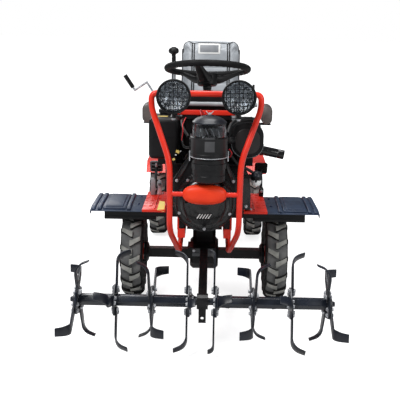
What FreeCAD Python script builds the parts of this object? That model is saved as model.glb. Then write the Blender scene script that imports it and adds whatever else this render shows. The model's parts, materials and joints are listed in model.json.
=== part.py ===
import FreeCAD, Part
import math
import os

# Articulated mini tractor with a tine rotor in front.
# Millimetres, +Z up, the machine drives toward -Y and its left side is +X.
# The origin of the working frame lies on the ground under the front axle;
# the finished parts are moved so that the origin is the bottom centre.

Vec = FreeCAD.Vector
X, Y, Z = Vec(1, 0, 0), Vec(0, 1, 0), Vec(0, 0, 1)

# ---------------------------------------------------------------- sizes

# Flat strips round a bar, a drum and a wide round form
tube_sides = 10
drum_sides = 14
round_sides = 18
bearing_sides = 12

# Wheels
tyre_radius = 226.0
tyre_width = 112.0
rim_radius = 127.0
rim_half = 41.0
lip = 4.0
dish_flat = 74.0
dish_half = 8.0
lug_height = 15.0
lug_width = 16.0
lug_count = 15
lug_angle = 35.0
front_track = 724.0
rear_track = 620.0
wheelbase = 1165.0
axle_bore = 16.0
running_fit = 0.05
hub_gap = 5.0
carrier_reach = 54.0
stub_length = 96.0

# Axles and gear housings
axle_tube = 47.0
housing_radius = 83.0
housing_half = 72.0
column_half = 58.0
column_depth = 140.0
carrier_radius = 56.0

# Front chassis
rail_x = 110.0
rail_width = 36.0
rail_height = 45.0
rail_top = 430.0
rail_front = -285.0
rail_rear = 452.0
plate = 8.0

# Articulation
pivot_y = 560.0
pin_radius = 18.0
barrel_radius = 36.0
barrel_low = 306.0
barrel_high = 404.0
neck_reach = 130.0
ear_thickness = 15.0
ear_gap = 0.5
steer_arm = 110.0
steer_z = 346.0
pitman_y = 210.0
link_radius = 8.0
eye_radius = 15.0
eye_pin = 6.0
eye_gap = 0.3
shaft_radius = 15.0
boot_radius = 36.0
joint_half = 32.0

# Fenders and foot plates
fender_z = 500.0
fender_outer = 557.0
fender_inner = 306.0
fender_front = -200.0
fender_rear = 112.0
fender_skin = 4.0
fender_lip = 18.0
fender_crease = -140.0
fender_droop = 10.0
floor_inner = 190.0
floor_rear = 190.0
beam_height = 48.0
beam_depth = 36.0
beam_end = 498.0
beam_front = -136.0

# Bull bar
bar_radius = 13.5
bar_y = -440.0
bar_top_y = -380.0
bar_top_z = 1085.0
bar_top_half = 246.0
bar_half = 158.0
bar_bend = 70.0
bar_corner = 32.0
bar_tail_x = 122.0
bar_tail_y = 90.0
bar_tail_z = 306.0
hanger_width = 40.0

# Lamps
lamp_x = 143.0
lamp_z = 1080.0
lamp_radius = 76.0
lamp_sides = 12
lamp_front = -482.0
lamp_depth = 74.0
grid_pitch = 38.0
grid_wire = 2.6
grid_count = 1

# Front pod
pod_z = 636.0
pod_half = 100.0
pod_high = 46.0
pod_deep = 32.0

# Engine
crank_half = 122.0
crank_front = -285.0
crank_rear = -20.0
crank_top = 700.0
shroud_z = 578.5
shroud_radius = 148.0
shroud_front = -340.0
shroud_top = 800.0
barrel_fin_half = 78.0
fin_pitch = 21.0
fin_thickness = 7.0
fin_count = 8
cylinder_y = -160.0

# Air cleaner
cleaner_x = 16.0
cleaner_y = -430.0
cleaner_low = 698.0
cleaner_mid = 800.0
cleaner_top = 902.0
bowl_top = 962.0
cleaner_r_low = 74.0
cleaner_r_mid = 83.0
bowl_radius = 76.0
lid_radius = 72.0
cleaner_sides = 14

# Tank and muffler
tank_inner = -128.0
tank_outer = -282.0
tank_front = -110.0
tank_rear = 100.0
tank_low = 732.0
tank_high = 938.0
muffler_inner = 124.0
muffler_outer = 278.0
muffler_front = -150.0
muffler_rear = 60.0
muffler_low = 757.0
muffler_high = 929.0
tail_radius = 23.0
tail_z = 816.0

# Console and steering wheel
console_half = 104.0
console_front = 20.0
console_rear = 190.0
console_top = 952.0
dash_half = 152.0
wheel_tilt = 12.0
wheel_y = 200.0
wheel_z = 1155.0
rim_ring = 208.0
rim_grip = 15.5
hub_drop = 58.0
hub_radius = 50.0
spoke_thickness = 8.0
spoke_turn = 15.0
column_radius = 15.0

# Drive arm and tine rotor
rotor_y = -740.0
rotor_z = 236.0
journal_radius = 17.0
arm_half = 19.0
boss_half = 24.0
boss_radius = 31.0
tube_flats = 46.0
hex_flats = 28.0
first_flange = 58.0
flange_pitch = 159.0
flange_count = 4
flange_radius = 60.0
flange_thickness = 8.0
tine_tip = 222.0
tine_width = 44.0
tine_thickness = 8.0
tine_bend = 52.0
tine_turn = 68.0
tine_end = 24.0
fold_slant = 35.0
flange_phase = (-16.0, 29.0, -16.0, 29.0)
short_bend = 24.0
short_end = 10.0

# Seat module
seat_half = 200.0
seat_shift = 15.0
cushion_front = wheelbase - 365
cushion_rear = wheelbase - 25
cushion_low = 802.0
cushion_thick = 84.0
back_thick = 82.0
back_top = 1282.0
back_lean = 9.0
pan_thick = 10.0
base_half = 150.0
base_front = wheelbase - 285
base_rear = wheelbase + 25
frame_rear = wheelbase + 165
frame_x = 95.0
guard_top = 540.0
guard_skin = 4.0
guard_inner = 245.0
guard_outer = 368.0
guard_front = wheelbase - 285
guard_rear = wheelbase + 40
guard_slope = 70.0
guard_drop = 60.0
guard_tail = 200.0
guard_tail_drop = 124.0
crank_x = 385.0
crank_y = wheelbase - 105
crank_z = 1007.0


# -------------------------------------------------------------- helpers

def box(x0, x1, y0, y1, z0, z1):
    corner = Vec(min(x0, x1), min(y0, y1), min(z0, z1))
    return Part.makeBox(abs(x1 - x0), abs(y1 - y0), abs(z1 - z0), corner)


def bar(start, end, radius, sides=tube_sides):
    return bent_tube([start, end], radius, 0, sides)


def to_plane(point, plane, level):
    a, b = point[0], point[1]
    if plane == "yz":
        return Vec(level, a, b)
    if plane == "xz":
        return Vec(a, level, b)
    return Vec(a, b, level)


def outline(points, plane, level):
    corners = [to_plane(point, plane, level) for point in points]
    return Part.makePolygon(corners + corners[:1])


def prism(points, plane, low, high):
    face = Part.Face(outline(points, plane, low))
    along = {"yz": X, "xz": Y, "xy": Z}[plane]
    return face.extrude(along * (high - low))


def flat_face(corners):
    return Part.Face(Part.makePolygon(corners + corners[:1]))


def closed_solid(faces):
    solid = Part.Solid(Part.Shell(faces))
    if solid.Volume < 0:
        solid.reverse()
    return solid.removeSplitter()


def spun(points, origin, axis, sides):
    """Turn an outline of (radius, height) points in flat strips."""
    def at(point, index):
        angle = 2 * math.pi * (index + 0.5) / sides
        return Vec(point[0] * math.cos(angle), point[0] * math.sin(angle), point[1])

    faces = []
    for near, far in zip(points, points[1:] + points[:1]):
        if near[0] == 0 and far[0] == 0:
            continue
        if near[1] == far[1] and near[0] * far[0] == 0:
            edge = near if near[0] else far
            faces.append(flat_face([at(edge, index) for index in range(sides)]))
            continue
        for index in range(sides):
            corners = [at(near, index)]
            if far[0]:
                corners += [at(far, index), at(far, index + 1)]
            else:
                corners += [at(far, index)]
            if near[0]:
                corners += [at(near, index + 1)]
            faces.append(flat_face(corners))
    solid = closed_solid(faces)
    solid.Placement = FreeCAD.Placement(origin, FreeCAD.Rotation(Z, axis))
    return solid


def bend_points(before, corner, after, bend, steps):
    """Corners of a run of chords that follows a tangent arc."""
    back = (before - corner).normalize()
    ahead = (after - corner).normalize()
    half = back.getAngle(ahead) / 2
    if bend == 0 or half > 1.5:
        return [corner]
    centre = corner + (back + ahead).normalize() * (bend / math.sin(half))
    sweep = math.pi - 2 * half
    start = corner + back * (bend / math.tan(half)) - centre
    axis = ahead.cross(back)
    points = []
    for step in range(steps):
        turn = FreeCAD.Rotation(axis, math.degrees(sweep * (step + 0.5) / steps))
        points.append(centre + turn.multVec(start) * (1 / math.cos(sweep / steps / 2)))
    return points


def bent_tube(points, radius, bend, sides=tube_sides, steps=2):
    """Round bar in flat strips, mitred; bend is one radius or one for each corner."""
    path = [points[0]]
    bends = bend if isinstance(bend, list) else [bend] * (len(points) - 2)
    for before, corner, after, curve in zip(points, points[1:], points[2:], bends):
        path += bend_points(before, corner, after, curve, steps)
    path.append(points[-1])
    along = (path[1] - path[0]).normalize()
    right = along.cross(X if abs(along.x) < 0.9 else Z).normalize()
    over = along.cross(right)
    ring = []
    for index in range(sides):
        angle = 2 * math.pi * (index + 0.5) / sides
        ring.append(path[0] + right * (radius * math.cos(angle)) + over * (radius * math.sin(angle)))
    faces = [flat_face(ring)]
    for index in range(1, len(path)):
        along = (path[index] - path[index - 1]).normalize()
        normal = along
        if index < len(path) - 1:
            normal = along + (path[index + 1] - path[index]).normalize()
        moved = [p + along * ((path[index] - p).dot(normal) / along.dot(normal)) for p in ring]
        for side in range(sides):
            after = (side + 1) % sides
            faces.append(flat_face([ring[side], ring[after], moved[after], moved[side]]))
        ring = moved
    faces.append(flat_face(ring))
    return closed_solid(faces)


def rounded(x0, x1, z0, z1, radius, steps=3):
    """Outline of a rectangle with its corners in short chords."""
    points = []
    corners = [(x1 - radius, z1 - radius), (x0 + radius, z1 - radius),
               (x0 + radius, z0 + radius), (x1 - radius, z0 + radius)]
    for quarter, (x, z) in enumerate(corners):
        for step in range(steps + 1):
            turn = math.pi / 2 * (quarter + step / steps)
            points.append((x + radius * math.cos(turn), z + radius * math.sin(turn)))
    return points


def socket(start, end, radius, sides=bearing_sides):
    """Tool that opens a turning fit for a bar of the same number of strips."""
    return bar(start, end, (radius + running_fit) / math.cos(math.pi / sides), sides)


def hexagon(flats, x0, x1, y, z):
    corner = flats / math.sqrt(3)
    points = []
    for step in range(6):
        turn = math.radians(60 * step + 30)
        points.append((y + corner * math.sin(turn), z + corner * math.cos(turn)))
    return prism(points, "yz", x0, x1)


def fuse(shapes):
    joined = shapes[0].multiFuse(shapes[1:])
    return joined.removeSplitter()


def straight_edges(solid, direction):
    """Straight edges that run along a direction."""
    edges = []
    for edge in solid.Edges:
        if edge.Curve.TypeId != "Part::GeomLine":
            continue
        if abs(edge.tangentAt(edge.FirstParameter).dot(direction)) > 0.999:
            edges.append(edge)
    return edges


def bevel(solid, size, direction):
    return solid.makeChamfer(size, straight_edges(solid, direction))


def mirror(shape):
    return shape.mirror(Vec(0, 0, 0), X)


def turned(shape, origin, axis, degrees):
    copy = shape.copy()
    copy.rotate(origin, axis, degrees)
    return copy


# --------------------------------------------------------------- wheels

def tyre_casing():
    tread = tyre_radius - lug_height
    half = tyre_width / 2
    outer = [(rim_radius, rim_half - lip), (rim_radius + 42, half), (tread, half - 7)]
    inner = [(radius, -height) for radius, height in reversed(outer)]
    return spun(outer + inner, Vec(0, 0, 0), X, 2 * lug_count)


def tyre_lug(side):
    """One chevron bar at the top of the tyre, from mid tread to the shoulder."""
    slant = math.radians(lug_angle)
    facet = math.pi / (2 * lug_count)
    tread = (tyre_radius - lug_height) * math.cos(facet)
    spare = tread * math.tan(facet) - lug_width / 2 * math.cos(slant) - 0.3
    length = 2 * spare / math.sin(slant)
    side_reach = spare + lug_width / 2 * math.cos(slant)
    top = math.sqrt(tyre_radius ** 2 - side_reach ** 2)
    points = [(0, tread - 4), (2, top), (length - 7, top), (length, tread - 4)]
    bar = prism(points, "xz", -lug_width / 2, lug_width / 2)
    bar.rotate(Vec(0, 0, 0), Z, lug_angle)
    bar.translate(Vec(0, -spare, 0))
    return bar if side > 0 else mirror(bar)


def tyre():
    solids = [tyre_casing()]
    pitch = 360.0 / lug_count
    for side in (1, -1):
        bar = tyre_lug(side)
        for step in range(lug_count):
            turn = pitch * (step + (0.5 if side > 0 else 0.0))
            solids.append(turned(bar, Vec(0, 0, 0), X, turn))
    return fuse(solids)


def rim(side):
    """Dished wheel with its hub and stub shaft; side is +1 on the left."""
    dish = spun([
        (0, dish_half), (dish_flat, dish_half), (rim_radius, rim_half),
        (rim_radius, -rim_half), (0, -dish_half),
    ], Vec(0, 0, 0), X, 2 * lug_count)
    cap = spun([(0, 0), (34, 0), (30, 28), (0, 28)], Vec(0, 0, 0), X, tube_sides)
    face = carrier_reach - hub_gap
    hub = bar(Vec(0, 0, 0), -X * face, 42, bearing_sides)
    stub = bar(Vec(0, 0, 0), -X * stub_length, axle_bore, bearing_sides)
    whole = fuse([dish, cap, hub, stub])
    return whole if side > 0 else mirror(whole)


# ------------------------------------------------- axles, gear housings

def gear_housing(axle_y):
    """Drum about the axle with a column up to the frame."""
    centre = Vec(0, axle_y, tyre_radius)
    drum = spun([
        (0, -housing_half), (housing_radius - 14, -housing_half),
        (housing_radius, -housing_half + 14), (housing_radius, housing_half - 14),
        (housing_radius - 14, housing_half), (0, housing_half),
    ], centre, X, drum_sides)
    floor = rail_top - rail_height
    depth = column_depth / 2
    column = box(-column_half, column_half, axle_y - depth, axle_y + depth, tyre_radius, floor)
    column = bevel(column, 16, Z)
    cap = box(-column_half - 30, column_half + 30, axle_y - depth - 14, axle_y + depth + 14,
              floor - 12, floor)
    return fuse([drum, column, cap])


def axle_tubes(axle_y, track):
    """Square tubes with round bearing carriers, both sides of one axle."""
    face = track / 2 - carrier_reach
    end = face - 16
    half = axle_tube / 2
    tube = box(housing_half, end, axle_y - half, axle_y + half,
               tyre_radius - half, tyre_radius + half)
    carrier = spun([(0, 0), (carrier_radius - 14, 0), (carrier_radius, 10), (carrier_radius, 22),
                    (0, 22)], Vec(end - 6, axle_y, tyre_radius), X, drum_sides)
    side = fuse([tube, carrier])
    depth = stub_length - carrier_reach + hub_gap
    side = side.cut(socket(Vec(face - depth, axle_y, tyre_radius),
                           Vec(face + 10, axle_y, tyre_radius), axle_bore))
    return Part.makeCompound([side, mirror(side)])


# -------------------------------------------------------- front chassis

def front_chassis():
    low = rail_top - rail_height
    half = rail_width / 2
    rail = box(rail_x - half, rail_x + half, rail_front, rail_rear, low, rail_top)
    solids = [rail, mirror(rail)]
    for y in (-60.0, rail_rear - plate):
        solids.append(box(-rail_x, rail_x, y, y + plate, low, rail_top))
    for y in (-150.0, bar_tail_y - 60):
        hanger = box(bar_tail_x - 4, bar_tail_x + 4, y, y + hanger_width, bar_tail_z - 4, low + 2)
        solids += [hanger, mirror(hanger)]
    ear_low = barrel_low - ear_gap - ear_thickness
    solids.append(box(-72, 72, rail_rear - plate, rail_rear, ear_low, low))
    for z in (ear_low, barrel_high + ear_gap):
        nose = [(barrel_radius, pivot_y), (20, pivot_y + 30), (-20, pivot_y + 30),
                (-barrel_radius, pivot_y)]
        root = [(-72, rail_rear - 4), (72, rail_rear - 4)]
        solids.append(prism(root + nose, "xy", z, z + ear_thickness))
    head = barrel_high + ear_gap + ear_thickness
    solids.append(bar(Vec(0, pivot_y, ear_low), Vec(0, pivot_y, head), pin_radius, bearing_sides))
    solids.append(bar(Vec(0, pivot_y, head), Vec(0, pivot_y, head + 12), pin_radius + 8, 6))
    for y in (beam_front, fender_rear - beam_depth):
        bracket = box(rail_x + half - 2, rail_x + half + plate, y, y + beam_depth,
                      low, fender_z - 3)
        solids += [bracket, mirror(bracket)]
    side = bull_bar_side()
    return fuse(solids).cut(side).cut(mirror(side))


def fender_beams():
    """Box beams that carry the fenders, from the rails outward."""
    solids = []
    inner = rail_x + rail_width / 2 + plate
    for y in (beam_front, fender_rear - beam_depth):
        beam = box(inner, beam_end, y, y + beam_depth, fender_z - 3 - beam_height, fender_z - 3)
        solids += [beam, mirror(beam)]
    return Part.makeCompound(solids)


# -------------------------------------------------------------- fenders

def fender_strip(x0, x1, margin, low, high):
    """Length of sheet that follows the fender's top, flat and then sloping forward."""
    base = fender_z - 3 + fender_skin
    front = fender_front + margin
    drop = fender_droop * (fender_crease - front) / (fender_crease - fender_front)
    rear = fender_rear - margin
    points = [(rear, base + high), (fender_crease, base + high), (front, base - drop + high),
              (front, base - drop + low), (fender_crease, base + low), (rear, base + low)]
    return prism(points, "yz", x0, x1)


def fender():
    """Moulded outer panel with a turned-down lip and a raised tread field."""
    outer = fender_outer + fender_skin
    sheet = fender_strip(fender_inner, fender_outer, 0, -fender_skin, 0)
    lip = fender_strip(fender_outer, outer, 0, -fender_lip, 0)
    top = fender_z - 3 + fender_skin - fender_droop
    front = box(fender_inner, outer, fender_front - fender_skin, fender_front, top - 6, top)
    back = box(fender_inner, outer, fender_rear, fender_rear + fender_skin,
               fender_z - fender_lip, fender_z + 1)
    solids = [sheet, lip, front, back, fender_strip(386, 499, 16, 0, 5)]
    for x in (361, 505):
        solids.append(fender_strip(x, x + 20, 8, 0, 5))
    return fuse(solids)


def foot_plate():
    """Red inner plate between the rail and the fender, with a front flange."""
    low = fender_z - 3
    sheet = box(floor_inner, fender_inner, fender_front, floor_rear, low, low + fender_skin)
    flange = box(floor_inner, fender_inner, fender_front - fender_skin, fender_front,
                 low - 9, low + fender_skin)
    rib = box(floor_inner + 52, floor_inner + 58, fender_front + 20, fender_rear,
              low + fender_skin, low + fender_skin + 5)
    inner = box(floor_inner, floor_inner + fender_skin, fender_front, floor_rear,
                low, low + 22)
    return fuse([sheet, flange, rib, inner])


# ------------------------------------------------------------- bull bar

def bull_bar_side():
    points = [
        Vec(bar_top_half - 58, bar_top_y, bar_top_z),
        Vec(bar_top_half, bar_top_y, bar_top_z),
        Vec(bar_top_half, bar_top_y - 4, bar_top_z - 65),
        Vec(bar_half + 2, bar_y, 785),
        Vec(bar_half, bar_y, 462),
        Vec(bar_tail_x - 2, -235, bar_tail_z - 4),
        Vec(bar_tail_x, bar_tail_y, bar_tail_z),
    ]
    return bent_tube(points, bar_radius, [bar_corner] + [bar_bend] * 4)


def bull_bar_cross():
    end = bar_top_half - 58
    return bar(Vec(-end, bar_top_y, bar_top_z), Vec(end, bar_top_y, bar_top_z), bar_radius)


def pod_tubes():
    tube = bar(Vec(pod_half - 6, bar_y, pod_z), Vec(bar_half, bar_y, pod_z), 11)
    tube = tube.cut(bull_bar_side())
    return Part.makeCompound([tube, mirror(tube)])


def front_pod():
    """Plain oval pod."""
    body = spun([(0, -1), (0.55, -0.84), (0.9, -0.44), (1, 0), (0.9, 0.44), (0.55, 0.84), (0, 1)],
                Vec(0, 0, 0), X, drum_sides)
    pod = body.transformGeometry(scaling(pod_half, pod_deep, pod_high))
    pod.translate(Vec(0, bar_y, pod_z))
    tube = bar(Vec(pod_half - 6, bar_y, pod_z), Vec(bar_half, bar_y, pod_z), 11)
    return pod.cut(tube).cut(mirror(tube))


def scaling(a, b, c):
    matrix = FreeCAD.Matrix()
    matrix.scale(a, b, c)
    return matrix


# ---------------------------------------------------------------- lamps

def lamp_housing():
    """Deep bowl with a thick rim, open to the front."""
    r = lamp_radius
    return spun([
        (r - 10, 0), (r, 0), (r, 22), (r - 26, 60), (0, lamp_depth), (0, lamp_depth - 8),
        (r - 32, 54), (r - 10, 14),
    ], Vec(lamp_x, lamp_front, lamp_z), Y, lamp_sides)


def lamp_lens():
    r = lamp_radius - 10
    return spun([(0, 3), (r, 8), (r, 12), (0, 9)], Vec(lamp_x, lamp_front, lamp_z), Y, lamp_sides)


def lamp_guard():
    """Square-mesh stone guard that clips over the rim."""
    r = lamp_radius
    centre = Vec(lamp_x, lamp_front, lamp_z)
    solids = [spun([(r - 8, -6.2), (r, -6.2), (r, -0.2), (r - 8, -0.2)], centre, Y, lamp_sides)]
    wire = grid_wire / 2
    y0 = lamp_front - 5.6
    y1 = y0 + grid_wire + 0.3
    for step in range(-grid_count, grid_count + 1):
        offset = grid_pitch * step
        reach = math.sqrt((r - 5) ** 2 - offset ** 2)
        solids.append(box(lamp_x + offset - wire, lamp_x + offset + wire, y0, y0 + grid_wire,
                          lamp_z - reach, lamp_z + reach))
        solids.append(box(lamp_x - reach, lamp_x + reach, y1, y1 + grid_wire,
                          lamp_z + offset - wire, lamp_z + offset + wire))
    return fuse(solids)


def lamp_bracket():
    """Clamp on the cross tube and a strap that runs under the lamp."""
    back = bar_top_y + bar_radius - 0.5
    low = lamp_z - lamp_radius - 18
    clamp = box(lamp_x - 13, lamp_x + 13, bar_top_y - bar_radius - 4, back + 6,
                bar_top_z - bar_radius - 4, bar_top_z + bar_radius + 4)
    clamp = clamp.cut(bull_bar_cross())
    drop = box(lamp_x - 13, lamp_x + 13, back, back + 6, low, bar_top_z)
    under = box(lamp_x - 13, lamp_x + 13, lamp_front + 4, back + 6, low, low + 5)
    stem = box(lamp_x - 8, lamp_x + 8, lamp_front + 4, lamp_front + 18, low + 4,
               lamp_z - lamp_radius + 3)
    return fuse([clamp, drop, under, stem.cut(lamp_housing())])


# --------------------------------------------------------------- engine

def crankcase():
    block = box(-crank_half, crank_half, crank_front, crank_rear, rail_top + 14, crank_top)
    block = bevel(block, 18, Y)
    feet = []
    for x in (-rail_x, rail_x):
        for y in (crank_front + 30, crank_rear - 50):
            feet.append(box(x - 12, x + 12, y - 25, y + 25, rail_top, rail_top + 40))
    cover = bar(Vec(crank_half - 2, -150, 575), Vec(crank_half + 24, -150, 575), 76, drum_sides)
    pulley_boss = bar(Vec(0, crank_rear - 2, 560), Vec(0, crank_rear + 18, 560), 46, 12)
    return fuse([block, cover, pulley_boss] + feet)


def cylinder_fins():
    """Finned cylinder and head with a plain rocker cover on top."""
    low = crank_top
    top = low + fin_pitch * fin_count
    core = box(-46, 46, cylinder_y - 46, cylinder_y + 46, low, top)
    solids = [core]
    for step in range(fin_count):
        z = low + 4 + fin_pitch * step
        fin = box(-barrel_fin_half, barrel_fin_half, cylinder_y - 84, cylinder_y + 84,
                  z, z + fin_thickness)
        solids.append(fin)
    cover = box(-62, 62, cylinder_y - 70, cylinder_y + 70, top - 6, top + 52)
    solids.append(bevel(cover, 16, Z))
    return fuse(solids)


def fan_shroud():
    """Round fan housing that grows up into the cylinder cowl."""
    r = shroud_radius
    points = [(-r, 680), (-72, shroud_top), (72, shroud_top), (r, 680)]
    for step in range(13):
        turn = math.pi * step / 12
        points.append((r * math.cos(turn), shroud_z - r * math.sin(turn)))
    shell = prism(points, "xz", shroud_front, crank_front)
    middle = Vec(0, shroud_front, shroud_z)
    ring = bar(middle + Y, middle - Y * 10, r - 16, 2 * tube_sides)
    return fuse([shell, ring])


def recoil_cover():
    """Starter cover with radial air slots, in front of the fan."""
    front = shroud_front - 10
    cover = spun([
        (0, -1), (112, -1), (112, 14), (96, 32), (0, 36),
    ], Vec(0, front, shroud_z), -Y, 2 * tube_sides)
    slot = box(-7, 7, front - 60, front - 20, shroud_z + 46, shroud_z + 84)
    for step in range(6):
        cover = cover.cut(turned(slot, Vec(0, 0, shroud_z), Y, 60 * step))
    return cover


def air_cleaner_body():
    top = cleaner_top - cleaner_low
    mid = cleaner_mid - cleaner_low
    r0, r1 = cleaner_r_low, cleaner_r_mid
    return spun([
        (0, 0), (r0, 0), (r0, mid - 12), (r1 + 3, mid - 4), (r1, mid + 4), (r1, top), (0, top),
    ], Vec(cleaner_x, cleaner_y, cleaner_low), Z, cleaner_sides)


def air_cleaner_core():
    centre = Vec(cleaner_x, cleaner_y, cleaner_top - 1)
    solids = [bar(centre, centre + Z * (bowl_top - cleaner_top + 2), 34, 8)]
    for step in range(4):
        vane = box(cleaner_x + 30, cleaner_x + bowl_radius - 8, cleaner_y - 2, cleaner_y + 2,
                   cleaner_top - 1, bowl_top - 14)
        solids.append(turned(vane, centre, Z, 90 * step + 45))
    return fuse(solids)


def air_cleaner_bowl():
    height = bowl_top - cleaner_top
    r = bowl_radius
    return spun([(r - 4, 0), (r, 0), (r - 1, height), (r - 5, height)],
                Vec(cleaner_x, cleaner_y, cleaner_top), Z, cleaner_sides)


def air_cleaner_lid():
    r = lid_radius
    lid = spun([
        (0, 0), (r + 4, 0), (r + 4, 6), (r * 0.8, 23), (0, 36),
    ], Vec(cleaner_x, cleaner_y, bowl_top), Z, cleaner_sides)
    wing = box(cleaner_x - 19, cleaner_x + 19, cleaner_y - 3, cleaner_y + 3,
               bowl_top + 28, bowl_top + 54)
    return fuse([lid, wing])


def intake_duct():
    """Bent pipe from the air cleaner back to the cylinder head."""
    pipe = bent_tube([
        Vec(cleaner_x, cleaner_y + cleaner_r_mid - 10, 850), Vec(cleaner_x, -300, 850),
        Vec(20, -272, 895), Vec(20, cylinder_y - 70, 895),
    ], 21, 26, tube_sides, 1)
    return pipe.cut(air_cleaner_body())


def engine_brackets():
    """Shelves for the tank and the muffler on the crankcase."""
    top = crank_top + 6
    shelf_left = box(tank_inner - 110, -60, -60, 10, crank_top, top)
    post_left = box(tank_inner - 110, tank_inner - 20, -60, 10, crank_top, tank_low)
    shelf_right = box(80, muffler_inner + 110, -70, 0, crank_top, top)
    post_right = box(muffler_inner + 30, muffler_inner + 110, -70, 0, crank_top, 770)
    base = box(-90, 90, -70, -24, crank_top, top)
    return fuse([shelf_left, post_left, shelf_right, post_right, base]).cut(muffler())


def cleaner_cradle():
    """Band round the air cleaner's lower part on an arm from the fan shroud."""
    low = cleaner_mid - 42
    band = spun([
        (cleaner_r_low, 0), (cleaner_r_low + 5, 0), (cleaner_r_low + 5, 24), (cleaner_r_low, 24),
    ], Vec(cleaner_x, cleaner_y, low), Z, cleaner_sides)
    arm = box(cleaner_x - 24, cleaner_x + 24, cleaner_y + cleaner_r_low - 12, shroud_front,
              low, low + 24)
    arm = arm.cut(air_cleaner_body())
    return fuse([band, arm])


def fuel_tank():
    tank = prism(rounded(tank_outer, tank_inner, tank_low, tank_high, 22), "xz",
                 tank_front, tank_rear)
    middle = Vec((tank_outer + tank_inner) / 2, 20, tank_high - 2)
    return fuse([tank, bar(middle, middle + Z * 12, 30, drum_sides)])


def fuel_cap():
    centre = Vec((tank_outer + tank_inner) / 2, 20, tank_high + 10)
    return spun([(0, 0), (36, 0), (36, 16), (31, 22), (0, 22)], centre, Z, drum_sides)


def muffler():
    mid = (muffler_inner + muffler_outer) / 2
    belly = muffler_low
    points = [
        (muffler_inner, belly + 62), (muffler_inner + 18, belly + 24), (mid - 24, belly),
        (mid + 24, belly), (muffler_outer - 18, belly + 24), (muffler_outer, belly + 62),
        (muffler_outer, muffler_high - 18), (muffler_outer - 18, muffler_high),
        (muffler_inner + 18, muffler_high), (muffler_inner, muffler_high - 18),
    ]
    body = prism(points, "xz", muffler_front + 8, muffler_rear - 8)
    ends = []
    for y in (muffler_front, muffler_rear - 8):
        grown = [(mid + (x - mid) * 1.03, z + (4 if z > 850 else -4)) for x, z in points]
        ends.append(prism(grown, "xz", y, y + 8))
    elbow = bent_tube([
        Vec(barrel_fin_half, cylinder_y, 840), Vec(muffler_inner - 4, cylinder_y, 840),
        Vec(muffler_inner + 24, -110, 840),
    ], 17, 0)
    return fuse([body, elbow] + ends)


def tail_pipe():
    """Short outlet that points down and outward, cut level at its mouth."""
    start = Vec(muffler_outer - 6, -60, tail_z)
    end = Vec(muffler_outer + 108, -60, tail_z - 76)
    outer = bar(start, end, tail_radius, 12)
    inner = bar(start + (end - start) * 0.3, end + (end - start) * 0.2, tail_radius - 3, 12)
    pipe = outer.cut(inner)
    return pipe.cut(box(-400, muffler_outer - 4, -200, 200, 600, 1000))


def fuel_filter():
    """Clear sediment bowl under a dark head."""
    return spun([(0, 0), (14, 0), (24, 10), (25, 62), (0, 62)], Vec(246, -205, 598), Z, 12)


def filter_head():
    centre = Vec(246, -205, 660)
    head = spun([(0, 0), (27, 0), (27, 16), (20, 26), (0, 26)], centre, Z, 12)
    arm = box(crank_half - 2, 236, -213, -197, 666, 680)
    return fuse([head, arm])


# ---------------------------------------------- console, levers, pedals

def console():
    """Folded sheet tower with a wider dash on top."""
    points = [
        (console_front, rail_top), (console_front, console_top - 40),
        (console_front - 36, console_top - 30), (console_front - 36, console_top),
        (console_rear + 6, console_top + 22), (console_rear + 6, console_top - 10),
        (console_rear - 20, console_top - 60), (console_rear, rail_top),
    ]
    tower = prism(points[0:2] + points[6:8], "yz", -console_half, console_half)
    dash = prism(points[1:7], "yz", -console_half - 16, console_half + 16)
    foot = box(-rail_x - 16, rail_x + 16, console_front, console_rear, rail_top, rail_top + 6)
    return fuse([tower, dash, foot])


def dash_ledge():
    """Painted rail across the dash, wider than the tower."""
    front = console_front - 36
    rail = box(-dash_half, dash_half, front - 8, front, console_top - 12, console_top)
    wings = box(-dash_half, dash_half, front - 8, console_front, console_top - 10, console_top)
    return fuse([rail, wings]).cut(console())


def steering_point(distance):
    """Point on the steering axis, counted down from the wheel's middle."""
    lean = math.radians(wheel_tilt)
    return Vec(0, wheel_y - distance * math.sin(lean), wheel_z - distance * math.cos(lean))


def steering_column():
    top = steering_point(hub_drop + 48)
    tube = bar(steering_point(260), top, column_radius, 12)
    boot = bar(steering_point(hub_drop + 78), top, column_radius + 6, 12)
    return fuse([tube, boot]).cut(console())


def wheel_spoke():
    """Flat spoke that tapers to the rim, before the wheel is leaned back."""
    inner = hub_radius - 8
    root = hub_radius + 34
    t = spoke_thickness / 2
    side = prism([(inner, -hub_drop - t), (root + t, -hub_drop - t), (rim_ring, -t),
                  (rim_ring, t), (root, t - hub_drop), (inner, t - hub_drop)], "xz", -26, 26)
    plan = prism([(inner, -25), (rim_ring, -14), (rim_ring, 14), (inner, 25)], "xy", -100, 100)
    return side.common(plan)


def steering_wheel():
    centre = steering_point(0)
    axis = centre - steering_point(1)
    section = []
    for step in range(6):
        turn = math.pi * (step + 0.5) / 3
        section.append((rim_ring + rim_grip * math.cos(turn), rim_grip * math.sin(turn)))
    ring = spun(section, centre, axis, 22)
    hub = spun([(0, -34), (hub_radius - 6, -34), (hub_radius, 16), (hub_radius - 8, 24), (0, 24)],
               steering_point(hub_drop + 14), axis, bearing_sides)
    solids = [ring, hub]
    for step in range(3):
        arm = wheel_spoke()
        arm.rotate(Vec(0, 0, 0), X, -wheel_tilt)
        arm.translate(centre)
        solids.append(turned(arm, centre, axis, spoke_turn + 120 * step))
    return fuse(solids)


def grab_bar():
    """Bright cross bar in front of the dash, on two short posts."""
    y = console_front - 18
    solids = [bar(Vec(-200, y, 996), Vec(246, y, 996), 11)]
    for x in (-118, 118):
        solids.append(bar(Vec(x, y, console_top), Vec(x, y, 996), 8, 8))
    return fuse(solids).cut(console())


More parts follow.
